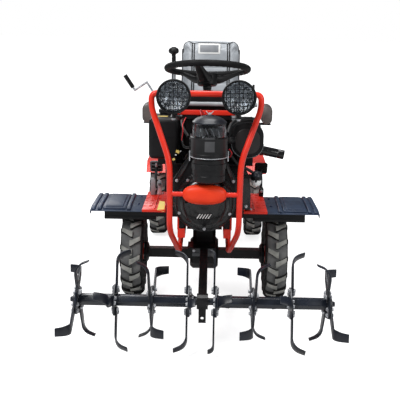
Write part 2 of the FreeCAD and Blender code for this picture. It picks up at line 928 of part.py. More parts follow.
def throttle_lever():
    y = console_front - 18
    hub = box(222, 238, y - 17, y + 17, 979, 1013)
    hub = bevel(hub, 9, X).cut(grab_bar())
    blade = box(224, 236, y - 4, y + 4, 1012, 1098)
    return fuse([hub, blade])


def gear_lever():
    """Cranked rod from the tower's left flank to the knob by the wheel."""
    rod_ = bent_tube([
        Vec(-console_half, 120, 600), Vec(-150, 140, 620), Vec(-176, 400, 780), Vec(-186, 430, 1212),
    ], 8, 20, 8, 1)
    return rod_.cut(console())


def gear_knob():
    ball = spun([(0, -27), (13, -24), (25, -10), (25, 10), (14, 23), (0, 27)],
                Vec(-187, 432, 1232), Z, 8)
    return ball.cut(gear_lever())


def pedal(side):
    """Pad on a bent arm, hung from a bracket on the foot plate."""
    x = 264.0 if side < 0 else 292.0
    plate_top = fender_z + 1
    bracket = box(x - 16, x + 8, 120, 160, plate_top, plate_top + 42)
    arm = bent_tube([
        Vec(x - 4, 140, fender_z + 32), Vec(x - 4, 150, fender_z + 70), Vec(x - 4, 205, fender_z + 130),
    ], 7, 16, 6, 1)
    pad = bevel(box(x - 38, x + 30, -4, 4, -36, 36), 9, Y)
    if side < 0:
        for z in (-13, 13):
            pad = pad.cut(box(x - 28, x + 20, -6, 6, z - 8, z + 8))
    pad.rotate(Vec(0, 0, 0), X, 28)
    pad.translate(Vec(0, 208, fender_z + 134))
    whole = fuse([bracket, arm, pad])
    return whole if side > 0 else mirror(whole)


# --------------------------------------------------- articulation, shafts

def steering_box():
    """Gear box under the rails that turns the pitman arm."""
    low = steer_z + link_radius + 9
    floor = rail_top - rail_height
    body = box(-46, 46, pitman_y - 50, pitman_y + 50, low + 8, floor)
    body = bevel(body, 14, Z)
    wing = box(-rail_x, rail_x, pitman_y - 20, pitman_y + 20, floor - 10, floor)
    neck = bar(Vec(0, pitman_y, low), Vec(0, pitman_y, low + 10), 24, bearing_sides)
    return fuse([body, wing, neck])


def link_pin(y):
    """Pin that hangs from a lever's eye into the drag link."""
    top = steer_z + link_radius + 4
    return bar(Vec(steer_arm, y, top), Vec(steer_arm, y, steer_z - link_radius - 4), eye_pin, 8)


def pitman_arm():
    low = steer_z + link_radius
    return fuse([lever_plate(pitman_y, low, low + 9, 24), link_pin(pitman_y)])


def lever_plate(y, low, high, root):
    """Tapered lever from a wide root at x = 0 to an eye at the arm's reach."""
    eye = eye_radius - 2
    return prism([
        (0, y + root), (-0.7 * root, y + 0.7 * root), (-root, y), (-0.7 * root, y - 0.7 * root),
        (0, y - root), (steer_arm, y - eye), (steer_arm + 0.8 * eye, y - 0.6 * eye),
        (steer_arm + 0.8 * eye, y + 0.6 * eye), (steer_arm, y + eye),
    ], "xy", low, high)


def drag_link():
    """Tie rod with an eye at each end, beside and below the rails."""
    low = steer_z - link_radius
    high = steer_z + link_radius - eye_gap
    solids = [bar(Vec(steer_arm, pitman_y, steer_z - 0.2), Vec(steer_arm, pivot_y, steer_z - 0.2),
                  link_radius - 1, 8)]
    for y in (pitman_y, pivot_y):
        solids.append(bar(Vec(steer_arm, y, low), Vec(steer_arm, y, high), eye_radius, 12))
    link = fuse(solids)
    for y in (pitman_y, pivot_y):
        link = link.cut(socket(Vec(steer_arm, y, low - 20), Vec(steer_arm, y, high + 20),
                               eye_pin + eye_gap, 8))
    return link


def pivot_barrel():
    """Barrel between the ears with the steering arm and a stub neck."""
    barrel = bar(Vec(0, pivot_y, barrel_low), Vec(0, pivot_y, barrel_high), barrel_radius,
                 drum_sides)
    neck = box(-34, 34, pivot_y + 20, pivot_y + neck_reach, barrel_low + 8, barrel_high - 8)
    low = steer_z + link_radius
    arm = lever_plate(pivot_y, low, low + 9, barrel_radius - 4)
    whole = fuse([barrel, neck, arm, link_pin(pivot_y)])
    return whole.cut(socket(Vec(0, pivot_y, barrel_low - 50), Vec(0, pivot_y, barrel_high + 50),
                            pin_radius))


def front_shaft():
    """Drive shaft to the pivot, ending in a round joint on the pivot axis."""
    centre = Vec(0, pivot_y, tyre_radius)
    start = Vec(0, housing_radius - 8, tyre_radius)
    shaft = bar(start, centre, shaft_radius)
    boss = bar(start, start + Y * 42, 34, bearing_sides)
    drum = bar(centre - Z * joint_half, centre + Z * joint_half, boot_radius, bearing_sides)
    return fuse([shaft, boss, drum]).cut(gear_housing(0))


def rear_shaft():
    """Drive shaft with a yoke that turns about the joint."""
    end = wheelbase - housing_radius + 8
    centre = Vec(0, pivot_y, tyre_radius)
    shaft = bar(Vec(0, pivot_y + boot_radius + 4, tyre_radius), Vec(0, end, tyre_radius),
                shaft_radius)
    boss = bar(Vec(0, end - 42, tyre_radius), Vec(0, end, tyre_radius), 34, bearing_sides)
    yoke = box(-boot_radius, boot_radius, pivot_y + 12, pivot_y + boot_radius + 10,
               tyre_radius - joint_half + 4, tyre_radius + joint_half - 4)
    bite = socket(centre - Z * joint_half, centre + Z * joint_half, boot_radius)
    return fuse([yoke, shaft, boss]).cut(bite).cut(gear_housing(wheelbase))


# ------------------------------------------------- drive arm and rotor

def hitch_bracket():
    block = box(-82, 58, -172, -housing_radius + 20, 246, 302)
    return block.cut(gear_housing(0))


def drive_arm():
    """Slim chain case from the gear housing out to the rotor."""
    top_rear, low_rear = 300.0, 214.0
    points = [(-172, low_rear), (-172, top_rear)]
    for step in range(6):
        turn = math.pi * step / 5
        points.append((rotor_y - boss_radius * math.sin(turn), rotor_z + boss_radius * math.cos(turn)))
    case = prism(points, "yz", -arm_half, arm_half)
    start, end = Vec(-boss_half, rotor_y, rotor_z), Vec(boss_half, rotor_y, rotor_z)
    boss = bar(start, end, boss_radius + 3, bearing_sides)
    lug = box(-16, 16, rotor_y - 6, rotor_y + 6, rotor_z - 96, rotor_z - 20)
    hole = bar(Vec(0, rotor_y - 20, rotor_z - 76), Vec(0, rotor_y + 20, rotor_z - 76), 8, 8)
    return fuse([case, boss, lug.cut(hole)]).cut(socket(start - X * 9, end + X * 9, journal_radius))


def rotor_shaft():
    half = boss_half + 4
    solids = [bar(Vec(-half, rotor_y, rotor_z), Vec(half, rotor_y, rotor_z), journal_radius,
                  bearing_sides)]
    end = first_flange - flange_thickness / 2
    for side in (-1, 1):
        solids.append(hexagon(hex_flats, side * (boss_half + 2), side * end, rotor_y, rotor_z))
    solids += [rotor_sleeve(), mirror(rotor_sleeve())]
    return fuse(solids)


def rotor_sleeve():
    """Hexagonal sleeve with four flanges."""
    start = first_flange - flange_thickness / 2
    end = first_flange + flange_pitch * (flange_count - 1) + 18
    solids = [hexagon(tube_flats, start, end, rotor_y, rotor_z)]
    for step in range(flange_count):
        x = first_flange + flange_pitch * step
        solids.append(flange(x, flange_phase[step]))
    return fuse(solids)


def flange(x, phase):
    """Octagonal plate with four long flats for the tines."""
    half = flange_thickness / 2
    arm = tine_width / 2
    reach = flange_radius + 6
    points = []
    for step in range(4):
        turn = math.pi / 2 * step
        for a, b in ((-arm, reach), (arm, reach)):
            y = a * math.cos(turn) + b * math.sin(turn)
            z = b * math.cos(turn) - a * math.sin(turn)
            points.append((rotor_y + y, rotor_z + z))
    return turned(prism(points, "yz", x - half, x + half), Vec(x, rotor_y, rotor_z), X, phase)


def tine(x, bend_side, bend, end):
    """Flat blade: straight shank, then a side bend whose fold line is slanted."""
    turn = math.radians(tine_turn)
    gain = bend * math.sin(turn) + end * math.cos(turn)
    knee = tine_tip - gain - 6
    t = tine_thickness
    half = tine_width / 2

    def spot(offset, angle, extra):
        r = bend + offset
        return (bend - r * math.cos(angle) + extra * math.sin(angle),
                knee + r * math.sin(angle) + extra * math.cos(angle))

    outer = [spot(t / 2, 0, 0), spot(t / 2, turn * 0.55, 0), spot(t / 2, turn, end)]
    inner = [spot(-t / 2, turn, end), spot(-t / 2, turn * 0.55, 0), spot(-t / 2, 0, 0)]
    hook = prism(outer + inner, "xz", -half, half)
    hook.rotate(Vec(0, 0, knee), X, -fold_slant)
    slant = math.radians(fold_slant)
    a, b = half * math.cos(slant), half * math.sin(slant)
    root = tube_flats / 2 + 6
    shank = prism([(-half, root), (half, root), (a, knee - b), (-a, knee + b)], "yz",
                  -t / 2, t / 2)
    blade = fuse([shank, hook])
    blade.translate(Vec(flange_thickness / 2 + t / 2, 0, 0))
    if bend_side < 0:
        blade = mirror(blade)
    blade.translate(Vec(x, rotor_y, rotor_z))
    return blade


def tines(side):
    """Four blades on each flange; blades a quarter turn apart bend opposite ways."""
    sides = {1: (-1, 1, 1, -1), -1: (-1, -1, 1, 1)}[side]
    solids = []
    for step in range(flange_count):
        x = side * (first_flange + flange_pitch * step)
        for quarter in range(4):
            way = sides[step] if quarter % 2 == 0 else -sides[step]
            inward = step == 0 and way == -side
            bend, end = (short_bend, short_end) if inward else (tine_bend, tine_end)
            blade = tine(x, way, bend, end)
            angle = flange_phase[step] + 90 * quarter
            solids.append(turned(blade, Vec(x, rotor_y, rotor_z), X, angle))
    return Part.makeCompound(solids)


# ---------------------------------------------------------- rear module

def rear_frame():
    low = rail_top - rail_height
    start = pivot_y + neck_reach
    rail = box(frame_x - 20, frame_x + 20, start, frame_rear, low, rail_top)
    solids = [rail, mirror(rail)]
    for y in (start, base_front, frame_rear - 12):
        solids.append(box(-frame_x, frame_x, y, y + 12, low, rail_top))
    solids.append(box(-frame_x, frame_x, start, start + 14, barrel_low + 8, rail_top))
    return fuse(solids)


def rear_hitch():
    """Drop plate with a drawbar tongue and a pin hole."""
    drop = box(-70, 70, frame_rear, frame_rear + 12, 290, rail_top)
    tongue = prism([
        (-42, frame_rear + 10), (-32, frame_rear + 84), (-16, frame_rear + 106),
        (16, frame_rear + 106), (32, frame_rear + 84), (42, frame_rear + 10),
    ], "xy", 300, 316)
    gusset = prism([(frame_rear + 10, 316), (frame_rear + 60, 316), (frame_rear + 10, 400)],
                   "yz", -6, 6)
    hole = Part.makeCylinder(11, 60, Vec(0, frame_rear + 80, 280))
    return fuse([drop, tongue, gusset]).cut(hole)


def seat_base():
    """Sheet box that tapers up to the seat, with a recessed front door."""
    points = [
        (base_front, rail_top), (base_front + 10, cushion_low - pan_thick - 30),
        (base_front - 40, cushion_low - pan_thick), (base_rear - 40, cushion_low - pan_thick),
        (base_rear, rail_top),
    ]
    body = prism(points, "yz", -base_half, base_half)
    door = box(-base_half + 26, base_half - 26, base_front - 10, base_front + 4,
               rail_top + 30, cushion_low - 80)
    return body.cut(door)


def seat_pan():
    low = cushion_low - pan_thick
    pan = box(-seat_half + 12, seat_half - 12, cushion_front + 14, cushion_rear + 60,
              low, cushion_low)
    pan = bevel(pan, 30, Z)
    back = box(-seat_half + 12, seat_half - 12, back_thick, back_thick + pan_thick,
               -pan_thick, back_top - cushion_low - 30)
    back = bevel(back, 30, Y)
    back.rotate(Vec(0, 0, 0), X, -back_lean)
    back.translate(Vec(0, cushion_rear - 26, cushion_low))
    shell = fuse([pan, back])
    shell.translate(X * seat_shift)
    return shell


def seat_cushion():
    pad = prism(rounded(-seat_half, seat_half, cushion_front, cushion_rear - 30, 45), "xy",
                cushion_low + 0.3, cushion_low + cushion_thick)
    pad.translate(X * seat_shift)
    return pad


def seat_back():
    tall = back_top - cushion_low
    pad = prism(rounded(-seat_half, seat_half, cushion_thick + 14, tall, 60), "xz",
                0, back_thick - 0.3)
    pad.rotate(Vec(0, 0, 0), X, -back_lean)
    pad.translate(Vec(seat_shift, cushion_rear - 26, cushion_low))
    return pad


def side_box():
    """Rounded locker beside the seat on a flat arm."""
    front = base_front - 40
    locker = bevel(box(330, 398, front, front + 190, 778, 898), 20, Y)
    arm = box(base_half, 392, front + 60, front + 120, 770, 778)
    return fuse([locker, arm])


def rear_guard():
    """Flat-topped mudguard over the rear tyre, folded down at both ends."""
    top = guard_top
    skin = guard_skin
    nose = guard_front - guard_slope
    tail = guard_rear + guard_tail
    points = [
        (nose, top - guard_drop), (guard_front, top), (guard_rear, top),
        (tail, top - guard_tail_drop), (tail - skin, top - guard_tail_drop),
        (guard_rear - skin, top - skin), (guard_front + skin, top - skin),
        (nose + skin, top - guard_drop),
    ]
    sheet = prism(points, "yz", guard_inner, guard_outer)
    arms = []
    for y in (guard_front + 60, guard_rear - 90):
        arms.append(box(base_half, guard_inner + 40, y, y + 30, top - skin - 16, top - skin))
    return fuse([sheet] + arms)


def lift_crank():
    """Bent crank on a sloping guide tube at the right of the seat."""
    down = Vec(37, 0, -55).normalize()
    knee = Vec(-crank_x, crank_y, crank_z)
    foot = knee + down * 300
    arm_end = knee + Vec(-75, 0, -51)
    grip_end = arm_end - down * 104
    return bent_tube([foot, knee, arm_end, grip_end], 7, 12, 8, 1)


def crank_grip():
    down = Vec(37, 0, -55).normalize()
    arm_end = Vec(-crank_x - 75, crank_y, crank_z - 51)
    grip = bar(arm_end - down * 20, arm_end - down * 112, 13)
    return grip.cut(lift_crank())


def crank_guide():
    down = Vec(37, 0, -55).normalize()
    knee = Vec(-crank_x, crank_y, crank_z)
    guide = bar(knee + down * 190, knee + down * 430, 14)
    return guide.cut(seat_base()).cut(lift_crank())


# ------------------------------------------------------------- assembly

NODES = []


def add(name, body, shape):
    NODES.append((name, body, shape))


def placed(shape, x, y):
    copy = shape.copy()
    copy.translate(Vec(x, y, tyre_radius))
    return copy


def pair(left):
    """A left piece and its mirror image as two loose solids."""
    return Part.makeCompound([left, mirror(left)])


def front_module():
    body = "front"
    add("front_gearcase", body, fuse([gear_housing(0), hitch_bracket(), front_shaft()]))
    add("front_axle", body, axle_tubes(0, front_track))
    add("front_chassis", body, front_chassis())
    add("fender_beams", body, fender_beams())
    add("fenders", body, pair(fender()))
    add("foot_plates", body, pair(foot_plate()))
    add("bull_bar_left", body, bull_bar_side())
    add("bull_bar_right", body, mirror(bull_bar_side()))
    add("bull_bar_cross", body, Part.makeCompound([bull_bar_cross(), pod_tubes()]))
    add("front_pod", body, front_pod())
    add("lamp_housings", body, pair(fuse([lamp_housing(), lamp_bracket()])))
    add("lamp_lenses", body, pair(lamp_lens()))
    add("lamp_guards", body, pair(lamp_guard()))
    add("crankcase", body, fuse([crankcase(), filter_head()]))
    add("cylinder", body, cylinder_fins())
    add("fan_shroud", body, fuse([fan_shroud(), recoil_cover()]))
    add("air_cleaner", body, fuse([air_cleaner_body(), air_cleaner_core(), air_cleaner_lid()]))
    add("air_cleaner_bowl", body, air_cleaner_bowl())
    add("engine_brackets", body, Part.makeCompound([engine_brackets(), cleaner_cradle()]))
    add("intake_duct", body, intake_duct())
    add("fuel_tank", body, fuel_tank())
    add("fuel_cap", body, fuel_cap())
    add("muffler", body, fuse([muffler(), tail_pipe()]))
    add("filter_bowl", body, fuel_filter())
    add("console", body, console())
    add("dash_ledge", body, dash_ledge())
    add("steering_gear", body, Part.makeCompound([steering_column(), steering_box()]))
    add("grab_bar", body, grab_bar())
    add("gear_lever", body, gear_lever())
    add("control_knobs", body, Part.makeCompound([throttle_lever(), gear_knob()]))
    add("pedals", body, Part.makeCompound([pedal(1), pedal(-1)]))
    add("drive_arm", body, drive_arm())


def moving_parts():
    add("steering_wheel", "steering_wheel", steering_wheel())
    add("pitman_arm", "pitman_arm", pitman_arm())
    add("drag_link", "drag_link", drag_link())
    add("rotor_shaft", "rotor", rotor_shaft())
    add("tines", "rotor", Part.makeCompound([tines(1), tines(-1)]))
    rubber = tyre()
    for end, track, y in (("front", front_track, 0.0), ("rear", rear_track, wheelbase)):
        for side, word in ((1, "left"), (-1, "right")):
            body = "wheel_" + end + "_" + word
            x = side * track / 2
            add("tyre_" + end + "_" + word, body, placed(rubber, x, y))
            add("rim_" + end + "_" + word, body, placed(rim(side), x, y))


def rear_module():
    body = "rear"
    add("pivot_barrel", body, pivot_barrel())
    add("rear_frame", body, fuse([rear_frame(), rear_hitch()]))
    add("rear_gearcase", body, fuse([gear_housing(wheelbase), rear_shaft()]))
    add("rear_axle", body, axle_tubes(wheelbase, rear_track))
    add("rear_guards", body, pair(rear_guard()))
    add("seat_base", body, seat_base())
    add("seat_pan", body, seat_pan())
    add("seat_cushion", body, seat_cushion())
    add("seat_back", body, seat_back())
    add("side_boxes", body, pair(side_box()))
    add("lift_crank", body, fuse([lift_crank(), crank_guide()]))
    add("crank_grip", body, crank_grip())


def origin_shift():
    """Vector that brings the bottom centre of everything to the origin."""
    bounds = Part.makeCompound([shape for name, body, shape in NODES]).BoundBox
    return Vec(-(bounds.XMin + bounds.XMax) / 2, -(bounds.YMin + bounds.YMax) / 2, -bounds.ZMin)


front_module()
moving_parts()
rear_module()
SHIFT = origin_shift()
os.makedirs("parts", exist_ok=True)
for name, body, shape in NODES:
    moved = shape.copy()
    moved.translate(SHIFT)
    moved.exportStep("parts/" + name + ".step")
print("nodes", len(NODES), "shift", SHIFT)
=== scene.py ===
import json
import math
import random

import bpy
from mathutils import Matrix, Vector
from mathutils.bvhtree import BVHTree

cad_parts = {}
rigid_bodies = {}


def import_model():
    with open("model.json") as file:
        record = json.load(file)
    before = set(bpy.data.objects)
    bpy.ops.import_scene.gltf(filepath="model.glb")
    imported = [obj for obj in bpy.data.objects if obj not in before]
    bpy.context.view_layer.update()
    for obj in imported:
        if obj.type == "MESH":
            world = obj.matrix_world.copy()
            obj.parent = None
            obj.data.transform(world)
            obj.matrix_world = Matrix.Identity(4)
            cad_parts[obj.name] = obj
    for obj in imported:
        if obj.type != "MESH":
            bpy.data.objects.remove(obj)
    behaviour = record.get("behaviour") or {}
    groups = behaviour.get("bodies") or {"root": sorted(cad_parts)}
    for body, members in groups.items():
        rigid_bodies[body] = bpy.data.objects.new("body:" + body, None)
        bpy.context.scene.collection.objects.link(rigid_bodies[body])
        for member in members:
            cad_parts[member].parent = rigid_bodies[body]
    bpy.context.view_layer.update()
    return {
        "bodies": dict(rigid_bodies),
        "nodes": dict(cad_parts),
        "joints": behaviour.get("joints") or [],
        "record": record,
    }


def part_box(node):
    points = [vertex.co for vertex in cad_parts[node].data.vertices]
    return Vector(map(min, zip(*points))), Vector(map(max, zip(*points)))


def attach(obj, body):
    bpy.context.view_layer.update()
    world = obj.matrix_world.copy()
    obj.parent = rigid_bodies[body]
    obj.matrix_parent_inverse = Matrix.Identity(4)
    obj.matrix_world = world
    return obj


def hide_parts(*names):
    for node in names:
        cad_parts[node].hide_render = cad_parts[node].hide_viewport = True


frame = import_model()
random.seed(11)

acrossX = Vector((1, 0, 0))
acrossY = Vector((0, 1, 0))
upward = Vector((0, 0, 1))
fullTurn = 2 * math.pi


def nodeBox(node):
    low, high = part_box(node)
    return Vector(low), Vector(high)


def middle(node):
    low, high = nodeBox(node)
    return (low + high) / 2


wheel = {
    "radius": 0.226, "half": 0.056, "tread": 0.2105, "rim": 0.127, "rimHalf": 0.041,
    "lugs": 15, "dish": 0.008, "front": middle("tyre_front_left"),
}
ground = wheel["front"].z - wheel["radius"]


# metres from the ground under the middle of the front axle
def place(x, y, z):
    return Vector((x, wheel["front"].y + y, ground + z))


# camera and stage
camera = {
    "spot": place(0.0191, -3.889, 1.4358), "down": 13.461, "roll": 0.938, "swing": -0.662,
    "lens": 70.3,
}


def addCamera():
    down = math.radians(camera["down"])
    roll = math.radians(camera["roll"])
    swing = math.radians(camera["swing"])
    ahead = Vector((math.sin(swing) * math.cos(down), math.cos(swing) * math.cos(down), -math.sin(down)))
    level = Vector((math.cos(swing), -math.sin(swing), 0))
    over = level.cross(ahead)
    right = level * math.cos(roll) + over * math.sin(roll)
    top = over * math.cos(roll) - level * math.sin(roll)
    data = bpy.data.cameras.new("camera")
    data.lens = camera["lens"]
    data.sensor_width = 36
    eye = bpy.data.objects.new("camera", data)
    turn = Matrix((right, top, -ahead)).transposed().to_4x4()
    eye.matrix_world = Matrix.Translation(camera["spot"]) @ turn
    bpy.context.collection.objects.link(eye)
    bpy.context.scene.camera = eye


def addLamp(name, spot, aim, size, power):
    data = bpy.data.lights.new(name, "AREA")
    data.shape = "DISK"
    data.size = size
    data.energy = power
    lamp = bpy.data.objects.new(name, data)
    lamp.location = spot
    lamp.rotation_euler = (Vector(aim) - Vector(spot)).to_track_quat("-Z", "Y").to_euler()
    bpy.context.collection.objects.link(lamp)


# where each light stands, what it aims at, its size and its power
studio = {
    "keyLamp": ((-2.4, -3.4, 4.4), (0, 0, 0.5), 1.8, 190),
    "fillLamp": ((3.4, -3.4, 2.4), (0, 0, 0.5), 2.0, 62),
    "topLamp": ((0, 0.4, 4.6), (0, 0, 0.5), 2.6, 120),
    "backLamp": ((-1.9, 4.2, 3), (0, 0, 0.6), 2.6, 60),
}

# colour and strength of the sky that lights, that glossy paint mirrors and that is seen
sky = {
    "surround": ((0.93, 0.96, 1, 1), 0.4), "mirrored": ((0.88, 0.93, 1, 1), 0.16),
    "backdrop": ((1, 1, 1, 1), 1),
}


def skyNode(nodes, part):
    shade = nodes.new("ShaderNodeBackground")
    shade.inputs["Color"].default_value, shade.inputs["Strength"].default_value = sky[part]
    return shade


def mixedBy(nodes, links, ray, first, second):
    mix = nodes.new("ShaderNodeMixShader")
    links.new(ray, mix.inputs[0])
    links.new(first.outputs[0], mix.inputs[1])
    links.new(second.outputs[0], mix.inputs[2])
    return mix


def addWorld():
    world = bpy.data.worlds.new("studio")
    bpy.context.scene.world = world
    world.use_nodes = True
    nodes, links = world.node_tree.nodes, world.node_tree.links
    nodes.clear()
    rays = nodes.new("ShaderNodeLightPath")
    lit = mixedBy(nodes, links, rays.outputs["Is Glossy Ray"],
                  skyNode(nodes, "surround"), skyNode(nodes, "mirrored"))
    seen = mixedBy(nodes, links, rays.outputs["Is Camera Ray"], lit, skyNode(nodes, "backdrop"))
    out = nodes.new("ShaderNodeOutputWorld")
    links.new(seen.outputs[0], out.inputs["Surface"])


def blankMaterial(name):
    material = bpy.data.materials.new(name)
    material.use_nodes = True
    tree = material.node_tree
    return material, tree.nodes, tree.links, tree.nodes["Principled BSDF"]


paper = {
    "size": 80, "grey": (0.6, 0.6, 0.6, 1), "rough": 0.9, "shine": 0.1,
    "near": 0.9, "far": 2.4, "nearGlow": 0.72, "farGlow": 1.05,
}


# pale paper that turns white away from the machine, to the camera only
def addFloor():
    bpy.ops.mesh.primitive_plane_add(size=paper["size"], location=(0, 0, 0))
    floor = bpy.context.object
    floor.name = "floor"
    material, nodes, links, shader = blankMaterial("floorPaper")
    shader.inputs["Base Color"].default_value = paper["grey"]
    shader.inputs["Roughness"].default_value = paper["rough"]
    shader.inputs["Specular IOR Level"].default_value = paper["shine"]
    shader.inputs["Emission Color"].default_value = (1, 1, 1, 1)
    rays = nodes.new("ShaderNodeLightPath")
    where = nodes.new("ShaderNodeTexCoord")
    away = nodes.new("ShaderNodeVectorMath")
    away.operation = "LENGTH"
    links.new(where.outputs["Object"], away.inputs[0])
    fade = nodes.new("ShaderNodeMapRange")
    fade.inputs["From Min"].default_value = paper["near"]
    fade.inputs["From Max"].default_value = paper["far"]
    fade.inputs["To Min"].default_value = paper["nearGlow"]
    fade.inputs["To Max"].default_value = paper["farGlow"]
    links.new(away.outputs["Value"], fade.inputs["Value"])
    glow = nodes.new("ShaderNodeMath")
    glow.operation = "MULTIPLY"
    links.new(fade.outputs["Result"], glow.inputs[0])
    links.new(rays.outputs["Is Camera Ray"], glow.inputs[1])
    links.new(glow.outputs[0], shader.inputs["Emission Strength"])
    floor.data.materials.append(material)


def addStage():
    addCamera()
    addWorld()
    addFloor()
    for name, (spot, aim, size, power) in studio.items():
        addLamp(name, spot, aim, size, power)
    bpy.context.scene.view_settings.view_transform = "Standard"
    print("stage done")


# materials: figures that all finishes share; wear shows where the rounded normal leaves the flat one
shared = {
    "bumpDepth": 0.0008, "coatRough": 0.12, "bevelSamples": 4, "mottleFrom": 0.34, "mottleTo": 0.66,
    "wearFrom": 0.985, "wearTo": 0.86, "wearScale": 90, "wearReach": 0.0012,
    "glassBend": 1.45, "facetDepth": 0.004,
}


# a screen value from 0 to 255 as the shader wants it
def linear(value):
    value = value / 255
    if value <= 0.04045:
        return value / 12.92
    return ((value + 0.055) / 1.055) ** 2.4


def tint(red, green, blue):
    return (linear(red), linear(green), linear(blue), 1)


def noiseNode(nodes, links, scale, detail):
    where = nodes.new("ShaderNodeTexCoord")
    noise = nodes.new("ShaderNodeTexNoise")
    noise.inputs["Scale"].default_value = scale
    noise.inputs["Detail"].default_value = detail
    links.new(where.outputs["Object"], noise.inputs["Vector"])
    return noise


# the same normal, rounded over a small radius where two faces meet
def roundedNormal(nodes, radius):
    rounded = nodes.new("ShaderNodeBevel")
    rounded.samples = shared["bevelSamples"]
    rounded.inputs["Radius"].default_value = radius
    return rounded.outputs["Normal"]


# base colour mottled from dark to light
def colourNodes(nodes, links, shader, dark, light, scale):
    noise = noiseNode(nodes, links, scale, 6)
    ramp = nodes.new("ShaderNodeValToRGB")
    stops = ((shared["mottleFrom"], dark), (shared["mottleTo"], light))
    for element, (share, tone) in zip(ramp.color_ramp.elements, stops):
        element.position = share
        element.color = tone
    links.new(noise.outputs["Fac"], ramp.inputs["Fac"])
    links.new(ramp.outputs["Color"], shader.inputs["Base Color"])
    return ramp


def roughNodes(nodes, links, shader, low, high, scale):
    noise = noiseNode(nodes, links, scale, 4)
    spread = nodes.new("ShaderNodeMapRange")
    spread.inputs["From Min"].default_value = 0.3
    spread.inputs["From Max"].default_value = 0.7
    spread.inputs["To Min"].default_value = low
    spread.inputs["To Max"].default_value = high
    links.new(noise.outputs["Fac"], spread.inputs["Value"])
    links.new(spread.outputs["Result"], shader.inputs["Roughness"])


# fine surface relief over an edge that is rounded as it is shaded
def bumpNodes(nodes, links, shader, scale, strength, edge):
    noise = noiseNode(nodes, links, scale, 3)
    bump = nodes.new("ShaderNodeBump")
    bump.inputs["Strength"].default_value = strength
    bump.inputs["Distance"].default_value = shared["bumpDepth"]
    links.new(noise.outputs["Fac"], bump.inputs["Height"])
    if edge > 0:
        links.new(roundedNormal(nodes, edge), bump.inputs["Normal"])
    links.new(bump.outputs["Normal"], shader.inputs["Normal"])


# paler colour where an edge is rubbed
def wearNodes(nodes, links, shader, ramp, worn):
    flat = nodes.new("ShaderNodeNewGeometry")
    meet = nodes.new("ShaderNodeVectorMath")
    meet.operation = "DOT_PRODUCT"
    links.new(roundedNormal(nodes, shared["wearReach"]), meet.inputs[0])
    links.new(flat.outputs["Normal"], meet.inputs[1])
    spread = nodes.new("ShaderNodeMapRange")
    spread.inputs["From Min"].default_value = shared["wearFrom"]
    spread.inputs["From Max"].default_value = shared["wearTo"]
    links.new(meet.outputs["Value"], spread.inputs["Value"])
    noise = noiseNode(nodes, links, shared["wearScale"], 5)
    amount = nodes.new("ShaderNodeMath")
    amount.operation = "MULTIPLY"
    links.new(spread.outputs["Result"], amount.inputs[0])
    links.new(noise.outputs["Fac"], amount.inputs[1])
    mix = nodes.new("ShaderNodeMix")
    mix.data_type = "RGBA"
    links.new(amount.outputs[0], mix.inputs["Factor"])
    links.new(ramp.outputs["Color"], mix.inputs["A"])
    mix.inputs["B"].default_value = worn
    links.new(mix.outputs["Result"], shader.inputs["Base Color"])


def surface(name, dark, light, rough, metal=0.0, shine=0.5, coat=0.0, mottle=9.0,
            grain=420.0, relief=0.12, edge=0.0015, worn=None, sheen=0.0):
    material, nodes, links, shader = blankMaterial(name)
    shader.inputs["Metallic"].default_value = metal
    shader.inputs["Specular IOR Level"].default_value = shine
    shader.inputs["Coat Weight"].default_value = coat
    shader.inputs["Coat Roughness"].default_value = shared["coatRough"]
    shader.inputs["Sheen Weight"].default_value = sheen
    ramp = colourNodes(nodes, links, shader, tint(*dark), tint(*light), mottle)
    roughNodes(nodes, links, shader, rough[0], rough[1], mottle * 2.3)
    bumpNodes(nodes, links, shader, grain, relief, edge)
    if worn:
        wearNodes(nodes, links, shader, ramp, tint(*worn))
    return material


def glass(name, colour, rough, facets, relief):
    material, nodes, links, shader = blankMaterial(name)
    shader.inputs["Base Color"].default_value = tint(*colour)
    shader.inputs["Transmission Weight"].default_value = 1
    shader.inputs["IOR"].default_value = shared["glassBend"]
    shader.inputs["Roughness"].default_value = rough
    where = nodes.new("ShaderNodeTexCoord")
    cells = nodes.new("ShaderNodeTexVoronoi")
    cells.inputs["Scale"].default_value = facets
    links.new(where.outputs["Object"], cells.inputs["Vector"])
    bump = nodes.new("ShaderNodeBump")
    bump.inputs["Strength"].default_value = relief
    bump.inputs["Distance"].default_value = shared["facetDepth"]
    links.new(cells.outputs["Distance"], bump.inputs["Height"])
    links.new(bump.outputs["Normal"], shader.inputs["Normal"])
    return material


